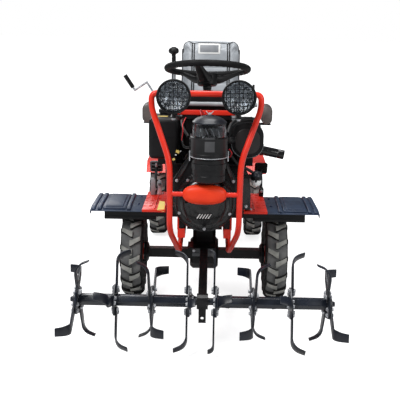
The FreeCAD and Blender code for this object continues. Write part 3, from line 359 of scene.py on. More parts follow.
# each finish: material name, dark and light tone, roughness from and to, and what else it sets
finishes = {
    "red_paint": ("redPaint", (214, 38, 20), (232, 48, 26), (0.3, 0.42),
                  {"shine": 0.4, "coat": 0.12, "worn": (150, 108, 98)}),
    "pod_paint": ("podPaint", (228, 50, 14), (238, 60, 20), (0.4, 0.5), {"shine": 0.35, "relief": 0.06}),
    "black_paint": ("blackPaint", (13, 13, 14), (21, 21, 23), (0.3, 0.46),
                    {"shine": 0.3, "worn": (72, 72, 72)}),
    "engine_black": ("engineBlack", (11, 11, 12), (19, 19, 21), (0.34, 0.52),
                     {"shine": 0.26, "relief": 0.2, "worn": (56, 56, 58)}),
    "engine_gloss": ("engineGloss", (12, 12, 13), (18, 18, 20), (0.2, 0.32),
                     {"shine": 0.4, "coat": 0.3, "relief": 0.06}),
    "fender_plastic": ("fenderPlastic", (30, 42, 62), (44, 58, 82), (0.36, 0.52),
                       {"shine": 0.34, "coat": 0.06, "grain": 700, "relief": 0.1}),
    "black_plastic": ("blackPlastic", (12, 12, 13), (21, 21, 22), (0.38, 0.56),
                      {"shine": 0.3, "grain": 800, "relief": 0.16}),
    "tyre_rubber": ("tyreRubber", (78, 79, 80), (108, 108, 107), (0.74, 0.9),
                    {"shine": 0.15, "mottle": 16, "grain": 520, "relief": 0.3, "edge": 0.002,
                     "worn": (112, 111, 106)}),
    # lighter rubber for the lug tops: painted light
    "lug_lit_top": ("lugLitTop", (122, 123, 118), (152, 151, 146), (0.78, 0.92),
                   {"shine": 0.12, "mottle": 26, "grain": 480, "relief": 0.35, "worn": (158, 156, 150)}),
    # dark rubber for tyre flanks and the disc behind the rim: painted shade
    "tyre_shade": ("tyreShade", (22, 22, 22), (38, 38, 38), (0.7, 0.88),
                  {"shine": 0.15, "mottle": 18, "grain": 520, "relief": 0.3}),
    "lamp_black": ("lampBlack", (14, 15, 16), (22, 23, 25), (0.24, 0.36), {"shine": 0.35}),
    "cast_metal": ("castMetal", (46, 47, 49), (78, 79, 82), (0.5, 0.7),
                   {"metal": 0.3, "grain": 260, "relief": 0.45, "worn": (130, 130, 130)}),
    "cast_light": ("castLight", (138, 140, 144), (176, 178, 180), (0.4, 0.55),
                   {"metal": 0.3, "relief": 0.3}),
    "pedal_metal": ("pedalMetal", (70, 72, 75), (112, 115, 118), (0.36, 0.5),
                    {"metal": 0.3, "relief": 0.3}),
    "bright_steel": ("brightSteel", (168, 170, 174), (212, 214, 218), (0.24, 0.4),
                     {"metal": 0.55, "shine": 0.7, "mottle": 30, "relief": 0.08}),
    "grip_rubber": ("gripRubber", (13, 13, 14), (23, 23, 24), (0.6, 0.78),
                    {"shine": 0.2, "grain": 900, "relief": 0.3}),
    "seat_cover": ("seatVinyl", (128, 133, 138), (168, 172, 176), (0.34, 0.48),
                   {"mottle": 5, "grain": 650, "relief": 0.25, "edge": 0, "sheen": 0.1}),
    "seat_piping": ("seatPiping", (16, 16, 18), (28, 28, 30), (0.5, 0.64), {"shine": 0.3, "edge": 0}),
    "seat_shell": ("seatShell", (17, 17, 18), (29, 29, 30), (0.45, 0.6),
                   {"shine": 0.3, "grain": 900, "relief": 0.25}),
    "box_grey": ("boxGrey", (66, 60, 58), (104, 94, 90), (0.42, 0.6),
                 {"grain": 500, "relief": 0.2, "worn": (132, 124, 120)}),
    "tine_steel": ("tineSteel", (13, 15, 23), (23, 28, 40), (0.26, 0.42),
                   {"relief": 0.2, "worn": (84, 84, 86)}),
    "rotor_paint": ("rotorPaint", (16, 20, 28), (28, 34, 46), (0.24, 0.36),
                    {"coat": 0.2, "worn": (90, 92, 96)}),
    "lid_paint": ("lidPaint", (22, 26, 33), (32, 37, 45), (0.34, 0.46), {"coat": 0.08, "shine": 0.4}),
    "label_film": ("labelFilm", (46, 46, 48), (70, 70, 72), (0.4, 0.5), {"edge": 0}),
    "plate_grey": ("plateGrey", (126, 129, 133), (158, 160, 164), (0.4, 0.5), {"edge": 0}),
    "muffler_face": ("mufflerFace", (36, 33, 33), (50, 46, 46), (0.34, 0.48), {"shine": 0.35}),
    # white of the painted glints in the lamps
    "glint_white": ("glintWhite", (228, 232, 236), (250, 252, 254), (0.1, 0.2), {"shine": 0.8, "edge": 0}),
    "white_mark": ("whiteMark", (222, 222, 220), (240, 240, 238), (0.5, 0.6), {"edge": 0}),
    "yellow_mark": ("yellowMark", (226, 196, 96), (240, 216, 130), (0.5, 0.6), {"edge": 0}),
    "red_wire": ("redWire", (176, 22, 30), (206, 34, 40), (0.4, 0.5), {"edge": 0}),
    "reflector": ("reflector", (150, 154, 160), (246, 248, 250), (0.16, 0.34),
                  {"metal": 0.75, "mottle": 70, "grain": 110, "relief": 1.0, "edge": 0}),
    "filter_glass": ("filterCup", (224, 226, 226), (248, 248, 246), (0.2, 0.34),
                     {"mottle": 24, "relief": 0.06}),
}

# material name, colour, roughness, size of the facets, their relief
glasses = {
    "lens_glass": ("lensGlass", (225, 230, 234), 0.04, 90, 1.0),
    "bowl_glass": ("bowlGlass", (222, 225, 228), 0.05, 34, 0.45),
}

finish = {}


def addMaterials():
    for slot, (name, dark, light, rough, more) in finishes.items():
        finish[slot] = surface(name, dark, light, rough, **more)
    for slot, settings in glasses.items():
        finish[slot] = glass(*settings)
    print("materials done")


# modelling tools
def deselect():
    if bpy.context.mode != "OBJECT":
        bpy.ops.object.mode_set(mode="OBJECT")
    bpy.ops.object.select_all(action="DESELECT")


def only(piece):
    deselect()
    piece.select_set(True)
    bpy.context.view_layer.objects.active = piece


def tidyMesh(piece):
    only(piece)
    bpy.ops.object.mode_set(mode="EDIT")
    bpy.ops.mesh.select_all(action="SELECT")
    bpy.ops.mesh.remove_doubles(threshold=0.00002)
    bpy.ops.mesh.normals_make_consistent(inside=False)
    bpy.ops.object.mode_set(mode="OBJECT")


def moved(piece, matrix):
    only(piece)
    piece.matrix_world = matrix
    bpy.ops.object.transform_apply(location=True, rotation=True, scale=True)
    return piece


def applied(piece, kind, **settings):
    only(piece)
    modifier = piece.modifiers.new(kind.lower(), kind)
    for key, value in settings.items():
        setattr(modifier, key, value)
    bpy.ops.object.modifier_apply(modifier=modifier.name)
    return piece


def softEdges(piece, size, segments=2, angle=35):
    return applied(piece, "BEVEL", width=size, segments=segments, limit_method="ANGLE",
                   angle_limit=math.radians(angle))


def smooth(piece, angle=35):
    only(piece)
    bpy.ops.object.shade_smooth_by_angle(angle=math.radians(angle))
    return piece


# one vertex, drawn out point by point; the piece stays in edit mode
def drawn(name, points):
    deselect()
    bpy.ops.mesh.primitive_plane_add(size=0.001, location=(0, 0, 0))
    piece = bpy.context.object
    piece.name = name
    bpy.ops.object.mode_set(mode="EDIT")
    bpy.ops.mesh.merge(type="CENTER")
    bpy.ops.transform.translate(value=points[0])
    for before, after in zip(points, points[1:]):
        bpy.ops.mesh.extrude_vertices_move(TRANSFORM_OT_translate={"value": after - before})
    bpy.ops.mesh.select_all(action="SELECT")
    return piece


# profile of (radius, height) pairs turned round an axis
def spun(name, profile, centre, axis=upward, steps=64, angle=30):
    piece = drawn(name, [Vector((radius, 0, height)) for radius, height in profile])
    bpy.ops.mesh.spin(steps=steps, angle=fullTurn, center=(0, 0, 0), axis=(0, 0, 1))
    bpy.ops.object.mode_set(mode="OBJECT")
    turn = upward.rotation_difference(axis).to_matrix().to_4x4()
    moved(piece, Matrix.Translation(centre) @ turn)
    tidyMesh(piece)
    return smooth(piece, angle)


# flat outline pushed along a direction
def slab(name, points, push, edge=0.002, segments=2):
    piece = drawn(name, points + [points[0]])
    bpy.ops.mesh.remove_doubles(threshold=0.00002)
    bpy.ops.mesh.edge_face_add()
    bpy.ops.mesh.extrude_region_move(TRANSFORM_OT_translate={"value": push})
    tidyMesh(piece)
    if edge > 0:
        softEdges(piece, edge, segments)
    return smooth(piece)


def block(name, low, high, edge=0.003, segments=3):
    deselect()
    low, high = Vector(low), Vector(high)
    bpy.ops.mesh.primitive_cube_add(size=1, location=(low + high) / 2)
    piece = bpy.context.object
    piece.name = name
    piece.scale = high - low
    bpy.ops.object.transform_apply(location=True, rotation=True, scale=True)
    softEdges(piece, edge, segments)
    return smooth(piece)


# corners of a route rounded to an arc
def bentRoute(points, bend, steps=8):
    route = [points[0]]
    for before, corner, after in zip(points, points[1:], points[2:]):
        first = (before - corner).normalized()
        last = (after - corner).normalized()
        reach = min(bend, (before - corner).length * 0.49, (after - corner).length * 0.49)
        for step in range(steps + 1):
            share = step / steps
            start = corner + first * reach * (1 - share)
            end = corner + last * reach * share
            route.append(start.lerp(end, share))
    return route + [points[-1]]


def tube(name, points, radius, bend=0.03, steps=8, ring=5, loop=False):
    curve = bpy.data.curves.new(name, "CURVE")
    curve.dimensions = "3D"
    curve.bevel_depth = radius
    curve.bevel_resolution = ring
    curve.use_fill_caps = not loop
    spline = curve.splines.new("POLY")
    route = points if loop or bend == 0 else bentRoute(points, bend, steps)
    spline.points.add(len(route) - 1)
    for dot, point in zip(spline.points, route):
        dot.co = (*point, 1)
    spline.use_cyclic_u = loop
    piece = bpy.data.objects.new(name, curve)
    bpy.context.collection.objects.link(piece)
    only(piece)
    bpy.ops.object.convert(target="MESH")
    piece = bpy.context.object
    tidyMesh(piece)
    return smooth(piece, 50)


# a ring of corners drawn along, one loop per station
def lofted(name, loops, edge=0.0, segments=2, angle=35):
    deselect()
    count = len(loops[0])
    bpy.ops.mesh.primitive_circle_add(vertices=count, radius=0.01, fill_type="NGON")
    piece = bpy.context.object
    piece.name = name
    bpy.ops.object.mode_set(mode="EDIT")
    bpy.ops.mesh.select_all(action="SELECT")
    for station in loops[1:]:
        bpy.ops.mesh.extrude_region_move(TRANSFORM_OT_translate={"value": (0, 0, 0.01)})
    bpy.ops.object.mode_set(mode="OBJECT")
    ordered = sorted(piece.data.vertices, key=lambda v: (round(v.co.z, 4), roundAngle(v.co)))
    spots = [point for loop in loops for point in loop]
    for vertex, spot in zip(ordered, spots):
        vertex.co = spot
    closeEnd(piece, ordered[:count])
    tidyMesh(piece)
    if edge > 0:
        softEdges(piece, edge, segments, angle)
    return smooth(piece, angle)


def roundAngle(spot):
    return round(math.atan2(spot.y, spot.x) % fullTurn, 3)


# an extruded end leaves its start open
def closeEnd(piece, rim):
    wanted = {vertex.index for vertex in rim}
    if any(set(face.vertices) == wanted for face in piece.data.polygons):
        return
    only(piece)
    bpy.ops.object.mode_set(mode="EDIT")
    bpy.ops.mesh.select_all(action="DESELECT")
    bpy.ops.object.mode_set(mode="OBJECT")
    for vertex in piece.data.vertices:
        vertex.select = vertex.index in wanted
    bpy.ops.object.mode_set(mode="EDIT")
    bpy.ops.mesh.edge_face_add()
    bpy.ops.object.mode_set(mode="OBJECT")


def copied(piece, name, matrix):
    twin = piece.copy()
    twin.data = piece.data.copy()
    twin.name = name
    bpy.context.collection.objects.link(twin)
    return moved(twin, matrix)


def mirrored(piece, name):
    twin = copied(piece, name, Matrix.Scale(-1, 4, acrossX))
    tidyMesh(twin)
    return smooth(twin)


def joined(name, pieces):
    deselect()
    for piece in pieces:
        piece.select_set(True)
    bpy.context.view_layer.objects.active = pieces[0]
    if len(pieces) > 1:
        bpy.ops.object.join()
    whole = bpy.context.view_layer.objects.active
    whole.name = name
    return whole


def painted(piece, slot):
    piece.data.materials.clear()
    piece.data.materials.append(finish[slot])
    return piece


def shown(piece, body, slot, *nodes):
    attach(piece, body)
    if nodes:
        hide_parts(*nodes)
    return piece


def turnAbout(spot, axis, degrees):
    turn = Matrix.Rotation(math.radians(degrees), 4, axis)
    return Matrix.Translation(spot) @ turn @ Matrix.Translation(-Vector(spot))


# wheels
tyre = {
    "lugFoot": 0.0155, "lugEnd": 0.0115, "lean": 0.0165, "footX": -0.007, "endX": 0.0545,
    "stations": (0, 0.05, 0.14, 0.28, 0.44, 0.6, 0.74, 0.86, 0.95, 1),
    "crown": 0.2095, "shoulder": 0.028, "shoulderLong": 0.0275, "shoulderDrop": 0.024,
    "topShort": 0.0012, "topFlat": 0.72, "topDrop": 0.018, "flare": 1.14, "sink": 0.004,
}


def tyreProfile():
    half = wheel["half"]
    right = [
        (wheel["rim"] + 0.0005, wheel["rimHalf"]), (0.131, 0.0465), (0.139, 0.0495), (0.1415, 0.0525),
        (0.1450, 0.0535), (0.150, 0.0535), (0.152, half - 0.001), (0.169, half - 0.0002),
        (0.1715, half - 0.0016), (0.186, half - 0.0018), (0.195, 0.0525), (0.203, 0.0475),
        (0.2075, 0.0405), (0.2095, 0.028), (wheel["tread"], 0.012), (wheel["tread"], 0.0),
    ]
    left = [(radius, -height) for radius, height in reversed(right[:-1])]
    return right + left + [right[0]]


def treadRadius(x):
    past = max(0, x - tyre["shoulder"]) / tyre["shoulderLong"]
    return tyre["crown"] - tyre["shoulderDrop"] * past ** 2


def lugTop(share):
    past = max(0, share - tyre["topFlat"]) / (1 - tyre["topFlat"])
    return wheel["radius"] - tyre["topShort"] - tyre["topDrop"] * past ** 2


# a wide foot past mid tread that turns square to the tyre, then the slanted bar
def lugLoops():
    loops = []
    span = tyre["endX"] - tyre["footX"]
    for share in tyre["stations"]:
        x = tyre["footX"] + span * share
        drift = tyre["lean"] * (2 * max(0.16, share) ** 0.9 - 1)
        half = tyre["lugFoot"] + (tyre["lugEnd"] - tyre["lugFoot"]) * min(1, share * 2.2)
        high = lugTop(share)
        foot = half * tyre["flare"]
        low = treadRadius(x) - tyre["sink"]
        loops.append([lugSpot(x, drift - foot, low), lugSpot(x, drift + foot, low),
                      lugSpot(x, drift + half, high), lugSpot(x, drift - half, high)])
    return loops


def lugSpot(x, drift, radius):
    turn = drift / wheel["tread"]
    return Vector((x, radius * math.sin(turn), radius * math.cos(turn)))


# a tyre in two finishes: crown faces in a lighter one as painted light, flank faces in a dark one as
# painted shade
def litAndShadedTyre(piece, crown, flank, isFlank):
    piece.data.materials.clear()
    for slot in (crown, flank):
        piece.data.materials.append(finish[slot])
    for face in piece.data.polygons:
        face.material_index = 1 if isFlank(face.center, face.normal) else 0
    return piece


def modelTyre():
    casing = spun("casing", tyreProfile(), Vector(), acrossX, 90, 24)
    # the casing's side faces take the dark finish as painted shade
    litAndShadedTyre(casing, "tyre_rubber", "tyre_shade", lambda spot, normal: abs(normal.x) > 0.72)
    lug = lofted("lug", lugLoops(), 0.0016, 2, 40)
    # lug tops take the lighter finish as painted light, lug sides the dark one as painted shade
    litAndShadedTyre(lug, "lug_lit_top", "tyre_shade", lambda spot, normal: normal.z < 0.8)
    other = mirrored(lug, "lugOther")
    parts = [casing]
    pitch = 360 / wheel["lugs"]
    for step in range(wheel["lugs"]):
        parts.append(copied(lug, "lugRight", turnAbout(Vector(), acrossX, pitch * (step + 0.5))))
        parts.append(copied(other, "lugLeft", turnAbout(Vector(), acrossX, pitch * step)))
    bpy.data.objects.remove(lug)
    bpy.data.objects.remove(other)
    return joined("tyre", parts)


def eachWheel():
    for end in ("front", "rear"):
        for side, way in (("left", 1), ("right", -1)):
            yield end, side, way


def addTyres():
    model = modelTyre()
    for end, side, way in eachWheel():
        node = f"tyre_{end}_{side}"
        piece = copied(model, f"tyre{end.title()}{side.title()}", Matrix.Translation(middle(node)))
        shown(piece, f"wheel_{end}_{side}", "tyre_rubber", node)
    bpy.data.objects.remove(model)
    for end, side, way in eachWheel():
        addWheelTrim(middle(f"tyre_{end}_{side}"), acrossX * way, f"wheel_{end}_{side}")
    print("tyres done")


# profiles are (radius, height) pairs that turn round the axle
wheelTrim = {
    # the cover is a dark disc of painted shade behind the rim
    "cover": [(0.062, 0), (0.1, 0), (0.118, 0.0005), (0.1265, 0.0015), (0.129, 0.004), (0.1265, 0.0062),
              (0.118, 0.0052), (0.1, 0.0035), (0.062, 0.0032), (0.062, 0)],
    "hub": [(0.0338, 0), (0.0415, 0), (0.0415, 0.004), (0.0395, 0.0065), (0.0345, 0.0065),
            (0.0338, 0.005), (0.0338, 0)],
    "bead": [(0.108, 0.0225), (0.1165, 0.0285), (0.1235, 0.0325), (0.1275, 0.0335), (0.1275, 0.0352),
             (0.1222, 0.0345), (0.1155, 0.031), (0.108, 0.0262), (0.108, 0.0225)],
    "bolts": 5, "boltCircle": 0.056, "boltSize": 0.0085,
    "stemOut": 0.022, "stemDown": 0.105, "stemLong": 0.024, "stemRise": 0.006, "stemRadius": 0.0035,
}


# dark disc behind the rim as painted shade, wheel bolts, hub ring, rim flange and valve
def addWheelTrim(centre, out, body):
    trim = wheelTrim
    cover = spun("rimShadeDisc", trim["cover"], centre - out * (wheel["rimHalf"] + 0.0005), -out, 60)
    shown(painted(cover, "tyre_shade"), body, "tyre_rubber")
    face = centre + out * wheel["dish"]
    parts = []
    for step in range(trim["bolts"]):
        turn = math.radians(360 / trim["bolts"] * step + 90)
        spot = face + Vector((0, math.cos(turn), math.sin(turn))) * trim["boltCircle"]
        parts.append(painted(hexHead(spot, out, trim["boltSize"]), "bright_steel"))
    parts.append(painted(spun("hubRing", trim["hub"], face, out, 40), "red_paint"))
    parts.append(painted(spun("beadRing", trim["bead"], face, out, 60), "red_paint"))
    foot = face + out * trim["stemOut"] - upward * trim["stemDown"]
    tip = foot + out * trim["stemLong"] + upward * trim["stemRise"]
    parts.append(painted(tube("valveStem", [foot, tip], trim["stemRadius"], 0, 1, 3), "black_plastic"))
    shown(joined("wheelBolts", parts), body, "bright_steel")


# bull bar and pod
bullBar = {
    "radius": 0.0135, "topHalf": 0.246, "topY": -0.38, "topZ": 1.085, "topReach": 0.188,
    "neckZ": 1.02, "neckLean": 0.004, "shoulderHalf": 0.16, "shoulderZ": 0.785, "half": 0.158,
    "frontY": -0.44, "kneeZ": 0.462, "heelHalf": 0.12, "heelY": -0.235, "heelZ": 0.302,
    "tailHalf": 0.122, "tailY": 0.09, "tailZ": 0.306, "bend": 0.055, "corner": 0.034,
    "podReach": 0.094, "podRadius": 0.011,
}


def bullBarRoute():
    bar = bullBar
    start = place(bar["topReach"], bar["topY"], bar["topZ"])
    top = place(bar["topHalf"], bar["topY"], bar["topZ"])
    neck = place(bar["topHalf"], bar["topY"] - bar["neckLean"], bar["neckZ"])
    run = [
        top, neck, place(bar["shoulderHalf"], bar["frontY"], bar["shoulderZ"]),
        place(bar["half"], bar["frontY"], bar["kneeZ"]), place(bar["heelHalf"], bar["heelY"], bar["heelZ"]),
        place(bar["tailHalf"], bar["tailY"], bar["tailZ"]),
    ]
    return bentRoute([start, top, neck], bar["corner"], 10)[:-1] + bentRoute(run, bar["bend"], 10)[1:]


def addBullBar():
    bar = bullBar
    side = painted(tube("bullBarLeft", bullBarRoute(), bar["radius"], 0, 1, 6), "red_paint")
    other = mirrored(side, "bullBarRight")
    shown(side, "front", "red_paint", "bull_bar_left")
    shown(other, "front", "red_paint", "bull_bar_right")
    ends = [place(way * bar["topReach"], bar["topY"], bar["topZ"]) for way in (-1, 1)]
    parts = [tube("barCross", ends, bar["radius"], 0, 1, 6)]
    for way in (-1, 1):
        stub = [place(way * reach, bar["frontY"], pod["z"]) for reach in (bar["podReach"], bar["half"])]
        parts.append(tube("podTube", stub, bar["podRadius"], 0, 1, 5))
    whole = painted(joined("bullBarCross", parts), "red_paint")
    shown(whole, "front", "red_paint", "bull_bar_cross")


pod = {"half": 0.1, "high": 0.046, "deep": 0.032, "z": 0.636, "square": 2.5}


# a ball pressed toward a rounded box
def addPod():
    deselect()
    bpy.ops.mesh.primitive_uv_sphere_add(segments=48, ring_count=24, radius=1)
    piece = bpy.context.object
    power = pod["square"]
    for vertex in piece.data.vertices:
        spot = vertex.co.copy()
        spot = spot / (abs(spot.x) ** power + abs(spot.z) ** power + abs(spot.y) ** power) ** (1 / power)
        vertex.co = Vector((spot.x * pod["half"], spot.y * pod["deep"], spot.z * pod["high"]))
    moved(piece, Matrix.Translation(place(0, bullBar["frontY"], pod["z"])))
    smooth(piece, 60)
    piece.name = "frontPod"
    shown(painted(piece, "pod_paint"), "front", "red_paint", "front_pod")


# lamps
# rows of painted glints: height of a row, how many it has, half its width
lamp = {
    "x": 0.143, "y": -0.482, "z": 1.08, "radius": 0.076, "depth": 0.074, "wires": 4, "pitch": 0.0185,
    "wire": 0.0014,
    "glintRows": ((-0.053, 6, 0.026), (-0.041, 8, 0.042), (-0.027, 8, 0.05), (-0.012, 7, 0.054)),
    "glintReach": 0.063, "glintTurn": 28, "glintShift": 0.004, "strapHalf": 0.013,
}


def lampShell(centre):
    r = lamp["radius"]
    shell = spun("lampShell", [
        (r - 0.0085, 0.0), (r - 0.003, -0.0015), (r, 0.002), (r, 0.019), (r - 0.004, 0.024),
        (r - 0.009, 0.03), (r - 0.022, 0.052), (r - 0.05, 0.068), (0.012, lamp["depth"]),
        (0, lamp["depth"]),
    ], centre, acrossY, 56)
    applied(shell, "SOLIDIFY", thickness=0.002, offset=-1)
    return painted(smooth(shell), "lamp_black")


def lampReflector(centre):
    r = lamp["radius"]
    bowl = spun("lampBowl", [
        (0, 0.05), (0.012, 0.05), (0.02, 0.046), (0.038, 0.037), (0.055, 0.024), (r - 0.011, 0.012),
    ], centre, acrossY, 40)
    applied(bowl, "SOLIDIFY", thickness=0.001, offset=1)
    bulb = spun("lampBulb", [(0, 0.022), (0.006, 0.024), (0.008, 0.03), (0.007, 0.05)], centre, acrossY, 20)
    parts = [painted(bowl, "reflector"), painted(bulb, "bright_steel")]
    return joined("lampBowl", parts + lampGlints(centre))


def lampLens(centre):
    r = lamp["radius"] - 0.0095
    lens = spun("lampLens", [
        (0, 0.0035), (0.02, 0.0038), (0.045, 0.0052), (r, 0.008), (r, 0.012), (0.045, 0.009), (0, 0.0075),
    ], centre, acrossY, 48)
    return painted(lens, "lens_glass")


# painted glints: small white blocks that stand for bright flutes behind the glass, turned and sized at
# random, larger in the lower rows
def lampGlints(centre):
    model = block("glint", (-0.0022, -0.001, -0.0048), (0.0022, 0.001, 0.0048), 0.0008, 1)
    glints = []
    shift = lamp["glintShift"]
    for row, count, reach in lamp["glintRows"]:
        for step in range(count):
            x = reach * (2 * step / (count - 1) - 1)
            if math.hypot(x, row) < lamp["glintReach"]:
                degrees = random.uniform(-lamp["glintTurn"], lamp["glintTurn"])
                spot = centre + Vector((x, 0.0012, row + random.uniform(-shift, shift)))
                size = random.uniform(0.45, 1.05) * (1.15 if row < -0.03 else 0.8)
                turn = Matrix.Rotation(math.radians(degrees), 4, "Y")
                matrix = Matrix.Translation(spot) @ turn @ Matrix.Scale(size, 4)
                glints.append(painted(copied(model, "glint", matrix), "glint_white"))
    bpy.data.objects.remove(model)
    return glints


def lampGuard(centre):
    r = lamp["radius"]
    parts = [spun("guardRing", [
        (r - 0.0075, -0.0062), (r - 0.001, -0.0062), (r, -0.005), (r, -0.0008), (r - 0.0075, -0.0008),
        (r - 0.0075, -0.0062),
    ], centre, acrossY, 56)]
    for step in range(-lamp["wires"] + 1, lamp["wires"]):
        offset = step * lamp["pitch"]
        reach = math.sqrt((r - 0.004) ** 2 - offset ** 2)
        upright = [centre + Vector((offset, -0.0042, end)) for end in (-reach, reach)]
        level = [centre + Vector((end, -0.0022, offset)) for end in (-reach, reach)]
        parts.append(tube("wire", upright, lamp["wire"], 0, 1, 1))
        parts.append(tube("wire", level, lamp["wire"], 0, 1, 1))
    return painted(joined("lampGuard", parts), "lamp_black")


def addLamps():
    shells, bowls, lenses, guards = [], [], [], []
    for way in (-1, 1):
        centre = place(way * lamp["x"], lamp["y"], lamp["z"])
        shells.append(lampShell(centre))
        bowls.append(lampReflector(centre))
        lenses.append(lampLens(centre))
        guards.append(lampGuard(centre))
        shells += lampBracket(way)
    shown(joined("lampHousings", shells), "front", "lamp_black", "lamp_housings")
    shown(joined("lampBowls", bowls), "front", "bright_steel")
    shown(joined("lampLenses", lenses), "front", "lens_glass", "lamp_lenses")
    shown(joined("lampGuards", guards), "front", "lamp_black", "lamp_guards")
    print("lamps done")


def lampBracket(way):
    x, y = way * lamp["x"], lamp["y"]
    half = lamp["strapHalf"]
    back = bullBar["topY"] + bullBar["radius"]
    foot = lamp["z"] - lamp["radius"]
    low, high = foot - 0.018, lamp["z"] + 0.024
    strap = [place(x - half, *spot) for spot in (
        (y + 0.004, low), (back + 0.0055, low), (back + 0.0055, high), (back + 0.0005, high),
        (back + 0.0005, low + 0.005), (y + 0.004, low + 0.005),
    )]
    plate = slab("lampStrap", strap, acrossX * 2 * half, 0.0012)
    stem = tube("lampStem", [place(x, y + 0.011, z + 0.003) for z in (low, foot)], 0.007, 0, 1, 4)
    nut = hexHead(place(x, y + 0.011, low - 0.0003), -upward, 0.0085)
    clamp = spun("lampClamp", [
        (0.0128, 0), (0.0165, 0), (0.0165, 2 * half), (0.0128, 2 * half), (0.0128, 0),
    ], place(x - half, bullBar["topY"], bullBar["topZ"]), acrossX, 32)
    return [painted(plate, "lamp_black"), painted(stem, "lamp_black"), painted(nut, "bright_steel"),
            painted(clamp, "lamp_black")]


# washer and six-sided head, standing on a face
def hexHead(spot, axis, size):
    washer = spun("washer", [
        (0, 0.0), (size * 1.3, 0.0), (size * 1.3, size * 0.18), (size * 1.1, size * 0.26), (0, size * 0.26),
    ], spot, axis, 20)
    deselect()
    bpy.ops.mesh.primitive_cylinder_add(vertices=6, radius=size, depth=size * 0.8)
    head = bpy.context.object
    turn = upward.rotation_difference(axis).to_matrix().to_4x4()
    moved(head, Matrix.Translation(Vector(spot) + Vector(axis) * size * 0.62) @ turn)
    softEdges(head, size * 0.12, 1)
    return joined("bolt", [washer, head])


# seat
seat = {
    "shrink": 0.007, "swell": 4.0, "cap": 0.014, "voxel": 0.006, "seam": 0.113, "gap": 0.0065,
    "groove": 0.006, "grooveWidth": 0.0032, "valley": 0.55, "valleyWidth": 0.011, "welt": 0.004,
    "lean": 9, "thick": 0.0817, "foot": 0.098, "tall": 0.48, "taperFrom": 0.32, "taperLong": 0.146,
    "taper": 0.1, "recline": 0.01, "elbow": (0.13, 0.41), "edgeFoot": 0.13, "rim": 0.045,
    "cord": 0.0039, "piping": 0.0036, "weltCord": 0.0028, "weltCorner": 0.034,
    "hinge": place(0.015, 1.114, 0.802), "shift": 0.015,
}


# closed block whose ends and corners are already round, ready to swell
def padForm(name, low, high, corner, voxel):
    pad = block(name, low, high, corner, 5)
    applied(pad, "REMESH", mode="VOXEL", voxel_size=voxel)
    return pad


# air pressure swells the cover; points on the held face stay
def puffed(pad, isHeld, pressure, cap):
    start = [vertex.co.copy() for vertex in pad.data.vertices]
    held = pad.vertex_groups.new(name="held")
    held.add([i for i, spot in enumerate(start) if isHeld(spot)], 1.0, "REPLACE")
    only(pad)
    cloth = pad.modifiers.new("cloth", "CLOTH")
    cloth.settings.vertex_group_mass = "held"
    cloth.settings.use_pressure = True
    cloth.settings.uniform_pressure_force = pressure
    cloth.settings.tension_stiffness = 25
    cloth.settings.effector_weights.gravity = 0
    for step in range(1, 21):
        bpy.context.scene.frame_set(step)
    bpy.ops.object.modifier_apply(modifier="cloth")
    bpy.context.scene.frame_set(1)
    for vertex, before in zip(pad.data.vertices, start):
        travel = vertex.co - before
        if travel.length > cap:
            vertex.co = before + travel.normalized() * cap
    pad.vertex_groups.clear()
    return pad


# two sewn channels each side of the middle panel, and welts across it
def sewn(pad, isFace, cross, axis=0.0):
    for vertex in pad.data.vertices:
        away = abs(vertex.co.x - axis) - seat["seam"]
        strength, along = isFace(vertex.co, vertex.normal)
        depth = seat["valley"] * math.exp(-(away / seat["valleyWidth"]) ** 2)
        for line in (-seat["gap"], seat["gap"]):
            depth = max(depth, math.exp(-((away - line) / seat["grooveWidth"]) ** 2))
        if away < 0:
            for line in cross:
                depth = max(depth, math.exp(-((along - line) / seat["welt"]) ** 2))
        vertex.co = vertex.co - vertex.normal * depth * strength * seat["groove"]
    return pad


def addSeatCushion():
    low, high = nodeBox("seat_cushion")
    rest = seat["shrink"]
    pad = padForm("seatCushion", low + Vector((rest, rest, 0.0005)), high - Vector((rest, rest, 0.012)),
                  0.03, seat["voxel"])
    puffed(pad, lambda spot: spot.z < low.z + 0.006, seat["swell"], seat["cap"])
    sewn(pad, lambda spot, normal: (max(0, normal.z) if spot.z > low.z + 0.03 else 0, spot.y),
         (low.y + 0.1, low.y + 0.2), seat["shift"])
    finishPad(pad, "seat_cushion", Vector((0, 0.6, -0.8)),
              lambda low, high, x, share: Vector((x, low.y - 0.22 + share * 0.6, high.z + 0.24)))
    welt = weltLoop("seatWelt", low.x + rest, high.x - rest, low.y + rest, high.y - rest, low.z + 0.018)
    shown(painted(welt, "seat_shell"), "rear", "seat_shell")


def padTree(pad):
    return BVHTree.FromPolygons([vertex.co for vertex in pad.data.vertices],
                                [face.vertices for face in pad.data.polygons])


# dark sewn cords are laid where straight rays meet the pad
def finishPad(pad, node, way, spotAt):
    applied(pad, "SUBSURF", levels=1, render_levels=1)
    smooth(pad, 80)
    painted(pad, "seat_cover")
    tree = padTree(pad)
    low, high = nodeBox(node)
    lines = []
    for side in (-1, 1):
        for gap in (-seat["gap"], seat["gap"]):
            x = seat["shift"] + side * (seat["seam"] + gap)
            route = []
            for step in range(41):
                hit = tree.ray_cast(spotAt(low, high, x, step / 40), way)[0]
                if hit:
                    route.append(hit - way * 0.0002)
            lines.append(tube("seatSeam", route[1:-1], seat["cord"], 0, 1, 2))
    shown(painted(joined("seatSeams", lines), "seat_piping"), "rear", "seat_cover")
    shown(pad, "rear", "seat_cover", node)


# piping cord round the foot of the cushion
def weltLoop(name, x0, x1, y0, y1, z):
    points = []
    corner = seat["weltCorner"]
    for turn, cx, cy in ((0, x1, y1), (90, x0, y1), (180, x0, y0), (270, x1, y0)):
        inX = cx + (corner if cx == x0 else -corner)
        inY = cy + (corner if cy == y0 else -corner)
        for step in range(9):
            angle = math.radians(turn + step * 90 / 8)
            points.append(Vector((inX + corner * math.cos(angle), inY + corner * math.sin(angle), z)))
    return tube(name, points, seat["weltCord"], 0, 1, 2, loop=True)


